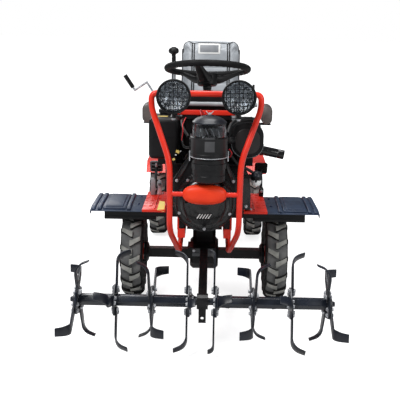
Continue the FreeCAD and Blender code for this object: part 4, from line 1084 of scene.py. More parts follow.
# piping round the outline, found by rays that come in from outside
def padEdge(pad):
    tree = padTree(pad)
    x, z = seat["elbow"]
    foot = seat["edgeFoot"]
    rays = [(-x, foot + (z - foot) * step / 10, 180) for step in range(11)]
    rays += [(-x, z, 180 - 9 * step) for step in range(1, 10)]
    rays += [(x * (step / 5 - 1), z, 90) for step in range(11)]
    rays += [(x, z, 90 - 9 * step) for step in range(1, 11)]
    rays += [(x, z + (foot - z) * step / 10, 0) for step in range(1, 11)]
    route = []
    for x0, z0, degrees in rays:
        out = Vector((math.cos(math.radians(degrees)), 0, math.sin(math.radians(degrees))))
        hit = tree.ray_cast(Vector((x0, seat["rim"], z0)) + out * 0.3, -out)[0]
        if hit:
            route.append(hit)
    return tube("seatPiping", route, seat["piping"], 0, 1, 3)


def addSeatBack():
    half = nodeBox("seat_back")[1].x - seat["shift"]
    low = Vector((-half + seat["shrink"], 0.012, seat["foot"] + 0.004))
    high = Vector((half - seat["shrink"], seat["thick"] - 0.0005, seat["tall"] - 0.004))
    pad = padForm("seatBack", low, high, 0.034, seat["voxel"])
    for vertex in pad.data.vertices:
        share = max(0, (vertex.co.z - seat["taperFrom"]) / seat["taperLong"])
        vertex.co.x *= 1 - seat["taper"] * share ** 2
        vertex.co.y += seat["recline"] * share ** 2
    puffed(pad, lambda spot: spot.y > seat["thick"] - 0.006, seat["swell"], seat["cap"])
    sewn(pad, lambda spot, normal: (max(0, -normal.y) if spot.y < 0.05 else 0, spot.z), (0.2, 0.3))
    leant = Matrix.Translation(seat["hinge"]) @ Matrix.Rotation(math.radians(-seat["lean"]), 4, "X")
    edge = moved(padEdge(pad), leant)
    moved(pad, leant)

    def rayStart(low, high, x, share):
        return Vector((x, low.y - 0.3, low.z + 0.01 + share * (high.z - low.z - 0.014)))

    finishPad(pad, "seat_back", acrossY, rayStart)
    border = block("seatBorder", (-0.082, -0.004, 0.385), (0.06, 0.014, 0.452), 0.004, 2)
    plate = block("seatPlate", (-0.07, -0.0055, 0.3955), (0.048, 0.004, 0.4415), 0.002, 2)
    badge = joined("seatBadge", [painted(border, "white_mark"), painted(plate, "plate_grey")])
    shown(moved(badge, leant), "rear", "seat_shell")
    shown(painted(edge, "seat_shell"), "rear", "seat_shell")
    print("seat done")


# steering wheel
steering = {
    "tilt": math.radians(12), "middle": place(0, 0.2, 1.155), "ring": 0.208, "grip": 0.0168, "drop": 0.058,
    "fingers": 40, "dent": 0.09, "spokes": (15, 135, 255),
}


# grip with finger dents on its underside
def steeringRing():
    deselect()
    bpy.ops.mesh.primitive_torus_add(major_radius=steering["ring"], minor_radius=steering["grip"],
                                     major_segments=160, minor_segments=20)
    ring = bpy.context.object
    for vertex in ring.data.vertices:
        around = math.atan2(vertex.co.y, vertex.co.x)
        out = Vector((math.cos(around), math.sin(around), 0))
        core = out * steering["ring"]
        away = vertex.co - core
        under = max(0, -away.normalized().z)
        dent = steering["dent"] * under * (0.5 + 0.5 * math.cos(steering["fingers"] * around))
        vertex.co = core + away * (1 - dent)
    return ring


# a deep arm whose upper edges stand up; stations are reach, height, half width and depth
def steeringSpoke(turn):
    drop = steering["drop"]
    route = [(0.03, -drop + 0.018, 0.038, 0.034), (0.06, -drop + 0.018, 0.035, 0.033),
             (0.08, -drop + 0.02, 0.032, 0.03), (0.1, -drop + 0.026, 0.0285, 0.0255),
             (0.13, -drop * 0.4, 0.0245, 0.02), (0.165, -drop * 0.17, 0.0205, 0.0155),
             (0.19, -0.002, 0.018, 0.013), (0.205, 0.0, 0.0175, 0.0115)]
    loops = []
    for reach, high, half, deep in route:
        section = ((-0.72, -deep), (0.72, -deep), (1, -deep * 0.4), (0.94, 0.004), (0.5, 0.0015),
                   (-0.5, 0.0015), (-0.94, 0.004), (-1, -deep * 0.4))
        loops.append([Vector((reach, half * side, high + rise)) for side, rise in section])
    spoke = lofted("spoke", loops, 0.0016, 2, 50)
    return moved(spoke, Matrix.Rotation(math.radians(turn), 4, "Z"))


def addSteeringWheel():
    parts = [painted(smooth(steeringRing(), 60), "grip_rubber")]
    for turn in steering["spokes"]:
        parts.append(painted(steeringSpoke(turn), "black_plastic"))
    low = -steering["drop"] - 0.014
    hub = spun("steeringHub", [
        (0, low - 0.034), (0.02, low - 0.034), (0.0225, low - 0.031), (0.0225, low - 0.0165),
        (0.046, low - 0.015), (0.051, low - 0.009), (0.0535, low + 0.01), (0.056, low + 0.034),
        (0.0555, low + 0.045),
        (0.05, low + 0.0495), (0.045, low + 0.0505), (0.043, low + 0.048), (0, low + 0.0475),
    ], Vector(), upward, 64)
    parts.append(painted(hub, "black_plastic"))
    cap = spun("steeringCap", [(0.042, low + 0.0465), (0.0405, low + 0.051), (0.026, low + 0.054),
                               (0, low + 0.055)], Vector(), upward, 48)
    parts.append(painted(cap, "seat_shell"))
    wheelPiece = joined("steeringWheel", parts)
    lean = Matrix.Rotation(-steering["tilt"], 4, "X")
    moved(wheelPiece, Matrix.Translation(steering["middle"]) @ lean)
    shown(wheelPiece, "steering_wheel", "black_plastic", "steering_wheel")
    print("steering wheel done")


# air cleaner
cleaner = {
    "x": 0.016, "y": -0.43, "low": 0.698, "mid": 0.815, "top": 0.902, "bowl": 0.962, "rLow": 0.074,
    "rMid": 0.083, "rBowl": 0.076, "rLid": 0.072,
}


def cleanerSpot(height):
    return place(cleaner["x"], cleaner["y"], height)


def cleanerBody():
    a, b = cleaner["rLow"], cleaner["rMid"]
    m = cleaner["mid"] - cleaner["low"]
    t = cleaner["top"] - cleaner["low"]
    can = spun("cleanerCan", [
        (0, 0), (a - 0.006, 0), (a - 0.001, 0.004), (a, 0.01), (a, 0.03), (a - 0.0015, 0.032), (a, 0.034),
        (a, m - 0.014), (b - 0.002, m - 0.008), (b + 0.0005, m - 0.004), (b, m), (b, m + 0.012),
        (b - 0.0012, m + 0.014), (b, m + 0.016), (b, t - 0.014), (b + 0.0016, t - 0.01),
        (b + 0.0016, t - 0.003), (b - 0.003, t), (0, t),
    ], cleanerSpot(cleaner["low"]), upward, 64)
    seam = spun("cleanerSeam", [
        (b - 0.001, m - 0.0052), (b + 0.0026, m - 0.0046), (b + 0.0026, m - 0.002), (b - 0.001, m - 0.0014),
        (b - 0.001, m - 0.0052),
    ], cleanerSpot(cleaner["low"]), upward, 64)
    parts = [painted(can, "black_paint"), painted(seam, "bright_steel")]
    for way in (-1, 1):
        clip = block("cleanerClip", (-0.003, -0.009, -0.026), (0.003, 0.009, 0.02), 0.002, 2)
        spot = cleanerSpot(cleaner["mid"]) + Vector((way * (b + 0.003), 0, 0))
        parts.append(painted(moved(clip, Matrix.Translation(spot)), "bright_steel"))
    return parts


def cleanerLabel():
    route = [Vector((0, 0, 0)), Vector((0, 0, 0.062))]
    patch = tube("labelPatch", route, cleaner["rMid"] + 0.0006, 0, 1, 20)
    only(patch)
    bpy.ops.object.mode_set(mode="EDIT")
    bpy.ops.mesh.select_all(action="SELECT")
    bpy.ops.mesh.bisect(plane_co=(-0.0195, 0, 0), plane_no=(1, 0, 0), clear_inner=True)
    bpy.ops.mesh.select_all(action="SELECT")
    bpy.ops.mesh.bisect(plane_co=(0.0245, 0, 0), plane_no=(1, 0, 0), clear_outer=True)
    bpy.ops.mesh.select_all(action="SELECT")
    bpy.ops.mesh.bisect(plane_co=(0, -0.05, 0), plane_no=(0, 1, 0), clear_outer=True)
    bpy.ops.object.mode_set(mode="OBJECT")
    moved(patch, Matrix.Translation(cleanerSpot(cleaner["mid"] + 0.028)))
    return painted(patch, "label_film")


# ring of slanted vanes inside the clear bowl; their light colours are painted sparkle that shows through
# the glass
def cleanerCore():
    height = cleaner["bowl"] - cleaner["top"]
    core = spun("cleanerCore", [
        (0, 0), (0.05, 0), (0.05, 0.004), (0.036, 0.01), (0.034, height * 0.6), (0.04, height - 0.008),
        (0.056, height), (0, height),
    ], cleanerSpot(cleaner["top"]), upward, 40)
    parts = [painted(core, "black_plastic")]
    vane = block("vane", (0.036, -0.001, 0.002), (0.069, 0.001, height - 0.014), 0.0006, 1)
    moved(vane, Matrix.Rotation(math.radians(22), 4, "X"))
    for step in range(16):
        turn = Matrix.Rotation(math.radians(22.5 * step), 4, "Z")
        copy = copied(vane, "vane", Matrix.Translation(cleanerSpot(cleaner["top"])) @ turn)
        # light grey and bright steel by turns: painted highlights
        parts.append(painted(copy, "cast_light" if step % 2 else "bright_steel"))
    bpy.data.objects.remove(vane)
    return parts


def cleanerLid():
    r = cleaner["rLid"]
    lid = spun("cleanerLid", [
        (0.0, 0.0), (r + 0.0035, 0), (r + 0.0048, 0.0012), (r + 0.0048, 0.0052), (r + 0.003, 0.0068),
        (r - 0.001, 0.0095), (r - 0.008, 0.0165), (r - 0.02, 0.0235), (r - 0.036, 0.0285), (0.02, 0.032),
        (0.019, 0.0345), (0.006, 0.0355), (0, 0.0355),
    ], cleanerSpot(cleaner["bowl"]), upward, 64, 40)
    foot = cleanerSpot(cleaner["bowl"])
    stud = tube("lidStud", [foot + upward * 0.03, foot + upward * 0.046], 0.004, 0, 1, 2)
    parts = [painted(lid, "lid_paint"), painted(stud, "bright_steel")]
    spots = ((0.003, 0.037), (0.009, 0.043), (0.0165, 0.052))
    for way in (-1, 1):
        wing = [foot + Vector((way * x, 0, z)) for x, z in spots]
        parts.append(painted(tube("lidWing", wing, 0.0022, 0.004, 4, 2), "bright_steel"))
    return parts


def addAirCleaner():
    shown(joined("airCleaner", cleanerBody() + cleanerCore() + cleanerLid()), "front", "black_paint",
          "air_cleaner")
    shown(cleanerLabel(), "front", "black_paint")
    height = cleaner["bowl"] - cleaner["top"]
    r = cleaner["rBowl"]
    bowl = spun("cleanerBowl", [
        (r - 0.004, 0), (r, 0), (r + 0.0003, 0.012), (r, 0.04), (r - 0.001, height), (r - 0.005, height),
        (r - 0.004, 0.04), (r - 0.004, 0),
    ], cleanerSpot(cleaner["top"]), upward, 64)
    painted(bowl, "bowl_glass")
    shown(bowl, "front", "bowl_glass", "air_cleaner_bowl")
    print("air cleaner done")


# engine
shroud = {
    "z": 0.5785, "radius": 0.148, "front": -0.34, "back": -0.285, "top": 0.8, "neck": 0.072,
    "shoulder": 0.68, "slotInner": 0.058, "slotOuter": 0.092, "slotPitch": 5,
    "grip": (0.078, 0.105), "gripTurn": 24, "bolts": (62, 128, 205, 335, 270), "boltCircle": 0.13,
    "stripes": 5, "stripePitch": 0.0128,
}


# faces picked by place and way they face, then inset and pushed along their normals
def pressed(piece, isWanted, inset, depth, group=False):
    only(piece)
    bpy.ops.object.mode_set(mode="EDIT")
    bpy.ops.mesh.select_mode(type="FACE")
    bpy.ops.mesh.select_all(action="DESELECT")
    bpy.ops.object.mode_set(mode="OBJECT")
    for face in piece.data.polygons:
        face.select = isWanted(face.center, face.normal)
    bpy.ops.object.mode_set(mode="EDIT")
    bpy.ops.mesh.inset(thickness=inset, depth=0, use_individual=not group)
    bpy.ops.mesh.inset(thickness=0.0001, depth=depth, use_individual=not group)
    bpy.ops.mesh.select_mode(type="VERT")
    bpy.ops.object.mode_set(mode="OBJECT")
    return piece


def shroudShell():
    r, back = shroud["radius"], shroud["back"]
    points = [place(x, back, z) for x, z in (
        (-r, shroud["shoulder"]), (-shroud["neck"], shroud["top"]), (shroud["neck"], shroud["top"]),
        (r, shroud["shoulder"]),
    )]
    for step in range(29):
        turn = math.pi * step / 28
        points.append(place(r * math.cos(turn), back, shroud["z"] - r * math.sin(turn)))
    shell = slab("shroudShell", points, acrossY * (shroud["front"] - back), 0.009, 4)
    return painted(shell, "engine_black")


def recoilCover():
    centre = place(0, shroud["front"], shroud["z"])
    r = shroud["radius"]
    ring = spun("recoilRing", [
        (r - 0.006, -0.002), (r - 0.0065, 0.004), (r - 0.0095, 0.0085), (r - 0.014, 0.01), (0.1195, 0.01),
        (0.117, 0.012), (0.1155, 0.02), (0.112, 0.027), (0.104, 0.033), (0.092, 0.0375), (0.058, 0.0425),
        (0.03, 0.0445), (0.024, 0.0435), (0, 0.0435),
    ], centre, -acrossY, 72)

    def isSlot(spot, normal):
        away = spot - centre
        radius = math.hypot(away.x, away.z)
        angle = math.degrees(math.atan2(away.z, away.x)) % 360
        step = round(angle / shroud["slotPitch"] - 0.5)
        inRing = shroud["slotInner"] < radius < shroud["slotOuter"] and angle < 180
        return inRing and normal.y < -0.8 and step % 4 != 0

    pressed(ring, isSlot, 0.0007, -0.006)
    grip = block("recoilGrip", (-0.03, -0.008, -0.009), (0.03, 0.012, 0.009), 0.006, 3)
    spot = place(shroud["grip"][0], shroud["front"] - 0.022, shroud["z"] + shroud["grip"][1])
    moved(grip, Matrix.Translation(spot) @ Matrix.Rotation(math.radians(shroud["gripTurn"]), 4, "Y"))
    parts = [painted(ring, "engine_gloss"), painted(grip, "black_plastic")]
    for degrees in shroud["bolts"]:
        turn = math.radians(degrees)
        away = Vector((math.cos(turn), 0, math.sin(turn))) * shroud["boltCircle"]
        parts.append(painted(hexHead(centre + away - acrossY * 0.0095, -acrossY, 0.0056), "bright_steel"))
    for step in range(shroud["stripes"]):
        x = -0.036 + step * shroud["stripePitch"]
        outline = [centre + Vector(spot) for spot in (
            (x, -0.046, -0.07), (x + 0.0048, -0.046, -0.07),
            (x + 0.0178, -0.047, -0.049), (x + 0.013, -0.047, -0.049),
        )]
        parts.append(painted(slab("faceStripe", outline, acrossY * 0.008, 0.0004, 1), "white_mark"))
    return parts


def addShroud():
    whole = joined("fanShroud", [shroudShell()] + recoilCover())
    shown(whole, "front", "engine_black", "fan_shroud")
    print("shroud done")


def roundedFrame(x0, z0, x1, z1, radius, steps=6):
    return roundedCorners([(x0, z0), (x1, z0), (x1, z1), (x0, z1)], radius, steps)


tank = {"corner": 0.024, "lidDrop": 0.012, "neckY": 0.02, "seam": 0.004}


def addTank():
    low, high = nodeBox("fuel_tank")
    lid = high.z - tank["lidDrop"]
    body = block("fuelTank", low, (high.x, high.y, lid), tank["corner"], 5)
    outline = roundedFrame(low.x, low.y, high.x, high.y, tank["corner"])
    seam = slab("tankSeam", [Vector((x, y, (low.z + high.z) / 2)) for x, y in outline],
                upward * tank["seam"], 0.0012)
    applied(seam, "SOLIDIFY", thickness=0.0006)
    neck = spun("tankNeck", [
        (0, -0.002), (0.036, -0.002), (0.034, 0.004), (0.03, 0.006), (0.03, 0.012), (0, 0.012),
    ], Vector(((low.x + high.x) / 2, place(0, tank["neckY"], 0).y, lid)), upward, 40)
    whole = painted(joined("fuelTank", [body, seam, neck]), "engine_black")
    shown(whole, "front", "engine_black", "fuel_tank")
    addFuelCap()


def addFuelCap():
    low, high = nodeBox("fuel_cap")
    centre = (low + high) / 2
    r = high.x - centre.x
    cap = spun("fuelCap", [
        (0, 0), (r - 0.002, 0), (r, 0.002), (r, 0.014), (r - 0.002, 0.017), (r - 0.006, 0.0185),
        (r * 0.5, 0.02), (0, 0.0205),
    ], Vector((centre.x, centre.y, low.z)), upward, 72)

    def isRib(spot, normal):
        step = round(math.degrees(math.atan2(spot.y - centre.y, spot.x - centre.x)) / 5 - 0.5)
        return abs(normal.z) < 0.2 and step % 3 == 0

    pressed(cap, isRib, 0.0006, -0.0022)
    shown(painted(cap, "black_plastic"), "front", "black_plastic", "fuel_cap")


def roundedCorners(corners, radius, steps=6):
    points = []
    count = len(corners)
    for index, (x, y) in enumerate(corners):
        bx, by = corners[index - 1]
        ax, ay = corners[(index + 1) % count]
        before = Vector((bx - x, by - y)).normalized() * radius
        after = Vector((ax - x, ay - y)).normalized() * radius
        pivot = Vector((x, y)) + before + after
        start = -after
        for step in range(steps + 1):
            turn = math.pi / 2 * step / steps
            spot = pivot + start * math.cos(turn) - before * math.sin(turn)
            points.append((spot.x, spot.y))
    return points


# x and z are the middle of the can, seen from the front
muffler = {
    "inner": 0.124, "outer": 0.278, "low": 0.757, "high": 0.929, "corner": 0.068,
    "front": -0.142, "long": 0.194, "seams": (-0.15, 0.052), "seamWide": 0.008,
    "panelX": 0.201, "panelZ": 0.843, "panelShareX": 0.78, "panelShareZ": 0.72, "panelDrop": 0.008,
    "elbow": ((0.078, -0.16, 0.84), (0.12, -0.16, 0.84), (0.148, -0.11, 0.84)), "elbowRadius": 0.017,
    "lipUnder": 0.825, "tailStart": place(0.254, -0.06, 0.7835), "tailEnd": place(0.3895, -0.06, 0.757),
}


def mufflerOutline(grow):
    can = muffler
    return roundedFrame(can["inner"] - grow, can["low"] - grow, can["outer"] + grow, can["high"] + grow,
                        can["corner"], 12)


def addMuffler():
    can = muffler
    parts = [slab("mufflerBody", [place(x, can["front"], z) for x, z in mufflerOutline(-0.0015)],
                  acrossY * can["long"], 0.003)]
    for y in can["seams"]:
        parts.append(slab("mufflerSeam", [place(x, y, z) for x, z in mufflerOutline(0.001)],
                          acrossY * can["seamWide"], 0.003, 3))
    panel = [place(can["panelX"] + (x - can["panelX"]) * can["panelShareX"], -0.1535,
                   can["panelZ"] - can["panelDrop"] + (z - can["panelZ"]) * can["panelShareZ"])
             for x, z in mufflerOutline(0)]
    face = painted(slab("mufflerPanel", panel, acrossY * 0.006, 0.0025, 3), "muffler_face")
    elbow = [place(*spot) for spot in can["elbow"]]
    parts.append(tube("mufflerElbow", elbow, can["elbowRadius"], 0.02, 8, 5))
    body = painted(joined("muffler", parts), "engine_black")
    route = [place(x, -0.1525, z) for x, z in mufflerOutline(0.0006) if z < can["lipUnder"]]
    route.sort(key=lambda spot: spot.x)
    lip = painted(tube("mufflerLip", route, 0.0022, 0, 1, 3), "pedal_metal")
    pipes = [painted(piece, "engine_gloss") for piece in tailPipe()]
    whole = joined("muffler", [body, face, lip] + pipes)
    shown(whole, "front", "engine_black", "muffler")
    print("tank and muffler done")


def tailPipe():
    start, end = muffler["tailStart"], muffler["tailEnd"]
    way = (end - start).normalized()
    mouth = (end - start).length - 0.003
    pipe = spun("tailPipe", [
        (0, 0), (0.023, 0), (0.023, 0.1), (0.0215, 0.104), (0.023, 0.108), (0.023, mouth),
        (0.0205, mouth), (0.0195, 0.05), (0, 0.05),
    ], start, way, 40)
    clamp = spun("tailClamp", [
        (0.022, 0.016), (0.0262, 0.0165), (0.0262, 0.0275), (0.022, 0.028), (0.022, 0.016),
    ], start, way, 32)
    return [pipe, clamp]


# controls
gearLever = {
    "route": ((-0.104, 0.12, 0.6), (-0.15, 0.14, 0.62), (-0.176, 0.4, 0.78), (-0.186, 0.43, 1.212)),
    "radius": 0.0078, "sleeve": 0.162, "knob": place(-0.187, 0.432, 1.232), "ringLift": 0.0202,
}


def addGearLever():
    lever = gearLever
    route = [place(*spot) for spot in lever["route"]]
    rod = painted(tube("leverRod", route, lever["radius"], 0.03, 8, 5), "bright_steel")
    foot = Vector((route[-1].x, route[-1].y, nodeBox("gear_lever")[1].z - lever["sleeve"]))
    sleeve = spun("leverSleeve", [
        (0.0079, 0), (0.0115, 0.004), (0.0125, 0.016), (0.0115, 0.026), (0.0115, 0.15), (0.0095, 0.158),
        (0.0079, 0.16),
    ], foot, upward, 28)
    shown(joined("gearLever", [rod, painted(sleeve, "grip_rubber")]), "front", "bright_steel", "gear_lever")
    knob = spun("gearKnob", [
        (0, -0.0265), (0.0112, -0.0265), (0.0118, -0.017), (0.0165, -0.0142), (0.0245, -0.0105),
        (0.0278, -0.004), (0.0282, 0.003), (0.0262, 0.0105), (0.0205, 0.0168), (0.011, 0.0202), (0, 0.021),
    ], lever["knob"], upward, 40, 40)
    ring = spun("knobRing", [
        (0.0105, -0.002), (0.0118, -0.001), (0.0118, 0.0012), (0.0105, 0.002), (0.0105, -0.002),
    ], lever["knob"] + upward * lever["ringLift"], upward, 28)
    parts = [painted(knob, "black_plastic"), painted(ring, "seat_shell")]
    parts += [painted(piece, "black_plastic") for piece in throttleLever()]
    shown(joined("controlKnobs", parts), "front", "black_plastic", "control_knobs")


grabBar = {
    "y": 0.002, "z": 0.996, "ends": (-0.2, 0.246), "radius": 0.011, "posts": (-0.118, 0.118),
    "postFoot": 0.953, "postTop": 0.99, "postRadius": 0.008, "boltSize": 0.0065,
}

# blade points are measured from the middle of the grab bar
throttle = {
    "hub": (0.2225, 0.2375), "hubRadius": 0.0168, "bladeX": 0.2245, "bladeThick": 0.011,
    "blade": ((-0.006, 0.01), (0.006, 0.01), (0.005, 0.094), (0, 0.1015), (-0.005, 0.094)),
}


def throttleLever():
    bar = grabBar
    route = [place(x, bar["y"], bar["z"]) for x in throttle["hub"]]
    hub = tube("throttleHub", route, throttle["hubRadius"], 0, 1, 6)
    outline = [place(throttle["bladeX"], bar["y"] + y, bar["z"] + z) for y, z in throttle["blade"]]
    return [hub, slab("throttleBlade", outline, acrossX * throttle["bladeThick"], 0.0024, 3)]


def addGrabBar():
    bar = grabBar
    y, z = bar["y"], bar["z"]
    parts = [tube("grabTube", [place(x, y, z) for x in bar["ends"]], bar["radius"], 0, 1, 6)]
    for x in bar["posts"]:
        post = [place(x, y, bar["postFoot"]), place(x, y, bar["postTop"])]
        parts.append(tube("grabPost", post, bar["postRadius"], 0, 1, 5))
        parts.append(hexHead(place(x, y - 0.0098, z), -acrossY, bar["boltSize"]))
    for x in bar["ends"]:
        parts.append(spun("grabEnd", [
            (0, -0.001), (0.0118, -0.001), (0.0118, 0.004), (0.009, 0.0055), (0, 0.0055),
        ], place(x, y, z), acrossX * (1 if x > 0 else -1), 28))
    shown(painted(joined("grabBar", parts), "cast_light"), "front", "bright_steel", "grab_bar")


# back plate: half width, foot, top, corner, place along and thickness
dash = {"backHalf": 0.124, "backFoot": 0.955, "backTop": 1.034, "backCorner": 0.02, "backY": 0.022,
        "backThick": 0.004, "railThick": 0.009, "railRise": 0.016, "boltShares": (0.06, 0.94)}


def addLedge():
    low, high = nodeBox("dash_ledge")
    rail = block("ledgeRail", (low.x, low.y, low.z + 0.004),
                 (high.x, low.y + dash["railThick"], high.z + dash["railRise"]), 0.003, 3)
    wings = block("ledgeWings", (low.x, low.y + 0.004, high.z - 0.01), (high.x, high.y, high.z), 0.002, 2)
    parts = [painted(joined("dashLedge", [rail, wings]), "red_paint")]
    for share in dash["boltShares"]:
        spot = Vector((low.x + share * (high.x - low.x), low.y - 0.0003, high.z + 0.004))
        parts.append(painted(hexHead(spot, -acrossY, 0.0052), "bright_steel"))
    shown(joined("dashLedge", parts), "front", "red_paint", "dash_ledge")
    half = dash["backHalf"]
    outline = roundedFrame(-half, dash["backFoot"], half, dash["backTop"], dash["backCorner"])
    back = slab("dashBack", [place(x, dash["backY"], z) for x, z in outline],
                acrossY * dash["backThick"], 0.001, 2)
    shown(painted(back, "black_paint"), "front", "black_paint")


pedal = {
    "left": 0.295, "right": 0.264, "half": 0.034, "tall": 0.036, "corner": 0.012, "thick": 0.008,
    "y": 0.205, "z": 0.634, "tilt": 28, "arm": ((0.14, 0.532), (0.15, 0.57), (0.208, 0.63)),
    "armRadius": 0.007, "footHalf": 0.012, "footLow": (0.12, 0.5015), "footHigh": (0.16, 0.543),
    "bolt": (0.1195, 0.53), "barHalf": 0.026,
}


# ribbed rubber pad on the left; on the right an open cast frame with two bars and a boss
def pedalPad(way):
    half, tall, reach = pedal["half"], pedal["tall"], pedal["barHalf"]

    def sheet(name, y, inset, corner, thick, edge, segments):
        outline = roundedFrame(inset - half, inset - tall, half - inset, tall - inset, corner)
        return slab(name, [Vector((x, y, z)) for x, z in outline], acrossY * thick, edge, segments)

    frame = sheet("pedalFrame", 0, 0, pedal["corner"], pedal["thick"], 0.0025, 3)
    if way > 0:
        parts = [frame]
        for step in range(5):
            z = -0.024 + step * 0.012
            low, high = (-reach, -0.0035, z - 0.0024), (reach, 0.002, z + 0.0024)
            parts.append(block("pedalRib", low, high, 0.0016, 2))
        return joined("pedalPad", [painted(piece, "grip_rubber") for piece in parts])
    inside = sheet("pedalInside", -0.001, 0.008, 0.008, 0.004, 0.001, 2)
    parts = [painted(frame, "pedal_metal"), painted(inside, "grip_rubber")]
    for z in (-0.012, 0.012):
        bar = block("pedalBar", (-reach, -0.0025, z - 0.003), (reach, 0.002, z + 0.003), 0.0014, 2)
        parts.append(painted(bar, "pedal_metal"))
    boss = block("pedalBoss", (-0.005, -0.004, -0.002), (0.005, 0.002, 0.026), 0.002, 2)
    return joined("pedalPad", parts + [painted(boss, "bright_steel")])


def addPedals():
    parts = []
    for way, side in ((1, "left"), (-1, "right")):
        x, half = way * pedal[side], pedal["footHalf"]
        tilt = Matrix.Rotation(math.radians(pedal["tilt"]), 4, "X")
        pad = moved(pedalPad(way), Matrix.Translation(place(x, pedal["y"], pedal["z"])) @ tilt)
        arm = tube("pedalArm", [place(x, *spot) for spot in pedal["arm"]], pedal["armRadius"], 0.016, 8, 5)
        low, high = place(x - half, *pedal["footLow"]), place(x + half, *pedal["footHigh"])
        foot = block("pedalFoot", low, high, 0.003, 3)
        parts += [pad, painted(arm, "black_paint"), painted(foot, "black_paint")]
        parts.append(painted(hexHead(place(x, *pedal["bolt"]), -acrossY, 0.006), "bright_steel"))
    shown(joined("pedals", parts), "front", "black_paint", "pedals")


sideBox = {
    "x": 0.364, "y": 0.84, "z": 0.8365, "long": 0.19, "half": 0.034, "tall": 0.058, "corner": 0.033,
    "steps": 8, "end": 0.68, "least": 0.78, "bulge": 0.22,
    "armLow": (0.1505, 0.9, 0.7702), "armHigh": (0.392, 0.96, 0.7785),
}


# long boxes with rounded ends beside the seat, each on a flat arm
def addSideBoxes():
    box = sideBox
    parts = []
    for way in (-1, 1):
        loops = []
        for step in range(box["steps"] + 1):
            turn = math.pi * step / box["steps"]
            isEnd = step in (0, box["steps"])
            grow = box["end"] if isEnd else box["least"] + box["bulge"] * math.sin(turn) ** 0.6
            half, tall = box["half"] * grow, box["tall"] * grow
            y = box["y"] + box["long"] * (0.5 - 0.5 * math.cos(turn))
            outline = roundedFrame(-half, -tall, half, tall, box["corner"] * grow, 8)
            loops.append([place(way * (box["x"] + u), y, box["z"] + v) for u, v in outline])
        parts.append(painted(lofted("sideBox", loops, 0.0, 1, 50), "box_grey"))
        (inner, y0, z0), (outer, y1, z1) = box["armLow"], box["armHigh"]
        low, high = sorted((way * inner, way * outer))
        arm = block("boxArm", place(low, y0, z0), place(high, y1, z1), 0.0015, 2)
        parts.append(painted(arm, "black_paint"))
    shown(joined("sideBoxes", parts), "rear", "box_grey", "side_boxes")
    print("controls done")


# fenders and foot plates
# strips lie along the sheet: name, inner and outer edge, margin at the ends, underside, top and edge radius
fender = {
    "inner": 0.306, "outer": 0.557, "front": -0.2, "rear": 0.112, "crease": -0.14, "droop": 0.01,
    "top": 0.501,
    "strips": (
        ("fenderField", 0.386, 0.499, 0.016, -0.001, 0.0075, 0.005),
        ("fenderInset", 0.4, 0.485, 0.03, 0.002, 0.0115, 0.003),
        ("fenderRib", 0.361, 0.381, 0.006, -0.001, 0.0105, 0.006),
        ("fenderRib", 0.505, 0.525, 0.006, -0.001, 0.0105, 0.006),
        ("fenderEdge", 0.536, 0.556, 0.004, -0.001, 0.0075, 0.005),
    ),
    "boltX": 0.33, "boltsY": (-0.1, 0.06), "boltSize": 0.006,
    "sillLow": (0.2405, -0.1365, 0.4315), "sillHigh": (0.499, -0.1, 0.452),
}


# closed outline of a sheet that lies flat and then slopes forward, from the side
def fenderOutline(margin, low, high):
    front, rear = fender["front"] + margin, fender["rear"] - margin
    drop = fender["droop"] * (fender["crease"] - front) / (fender["crease"] - fender["front"])
    top = fender["top"]
    return [(rear, top + high), (fender["crease"], top + high), (front, top - drop + high),
            (front, top - drop + low), (fender["crease"], top + low), (rear, top + low)]


def fenderStrip(name, x0, x1, margin, low, high, edge):
    points = [place(x0, y, z) for y, z in fenderOutline(margin, low, high)]
    return slab(name, points, Vector((x1 - x0, 0, 0)), edge, 3)


def modelFender():
    f = fender
    rim = f["outer"] + 0.004
    parts = [
        fenderStrip("fenderSheet", f["inner"], f["outer"] + 0.003, 0, -0.004, 0, 0.0014),
        fenderStrip("fenderLip", f["outer"], rim, -0.002, -0.018, -0.0002, 0.0016),
        block("fenderNose", place(f["inner"], f["front"] - 0.0042, f["top"] - 0.0135),
              place(rim, f["front"] + 0.001, f["top"] - 0.0098), 0.0018, 3),
        block("fenderTail", place(f["inner"], f["rear"] - 0.0005, f["top"] - 0.0175),
              place(rim, f["rear"] + 0.004, f["top"]), 0.0018, 3),
    ]
    parts += [fenderStrip(*strip) for strip in f["strips"]]
    parts += [hexHead(place(f["boltX"], y, f["top"]), upward, f["boltSize"]) for y in f["boltsY"]]
    sheet = painted(joined("fender", parts), "fender_plastic")
    sill = block("beamSill", place(*f["sillLow"]), place(*f["sillHigh"]), 0.003, 2)
    return joined("fender", [sheet, painted(sill, "black_paint")])


def addFenders():
    left = modelFender()
    right = mirrored(left, "fenderRight")
    shown(joined("fenders", [left, right]), "front", "fender_plastic", "fenders")


footPlate = {
    "inner": 0.19, "outer": 0.306, "front": -0.2, "rear": 0.19, "top": 0.501, "thick": 0.004,
    "flangeLow": 0.488, "wallTop": 0.519, "ribX": 0.245, "ribHalf": 0.003, "ribRear": 0.112,
    "rows": 6, "columns": 4, "firstX": 0.208, "pitchX": 0.027, "ribGap": 0.006, "firstY": -0.13,
    "pitchY": 0.055, "cleatTurn": 38, "boltX": 0.226, "boltsY": (-0.172, 0.15),
}


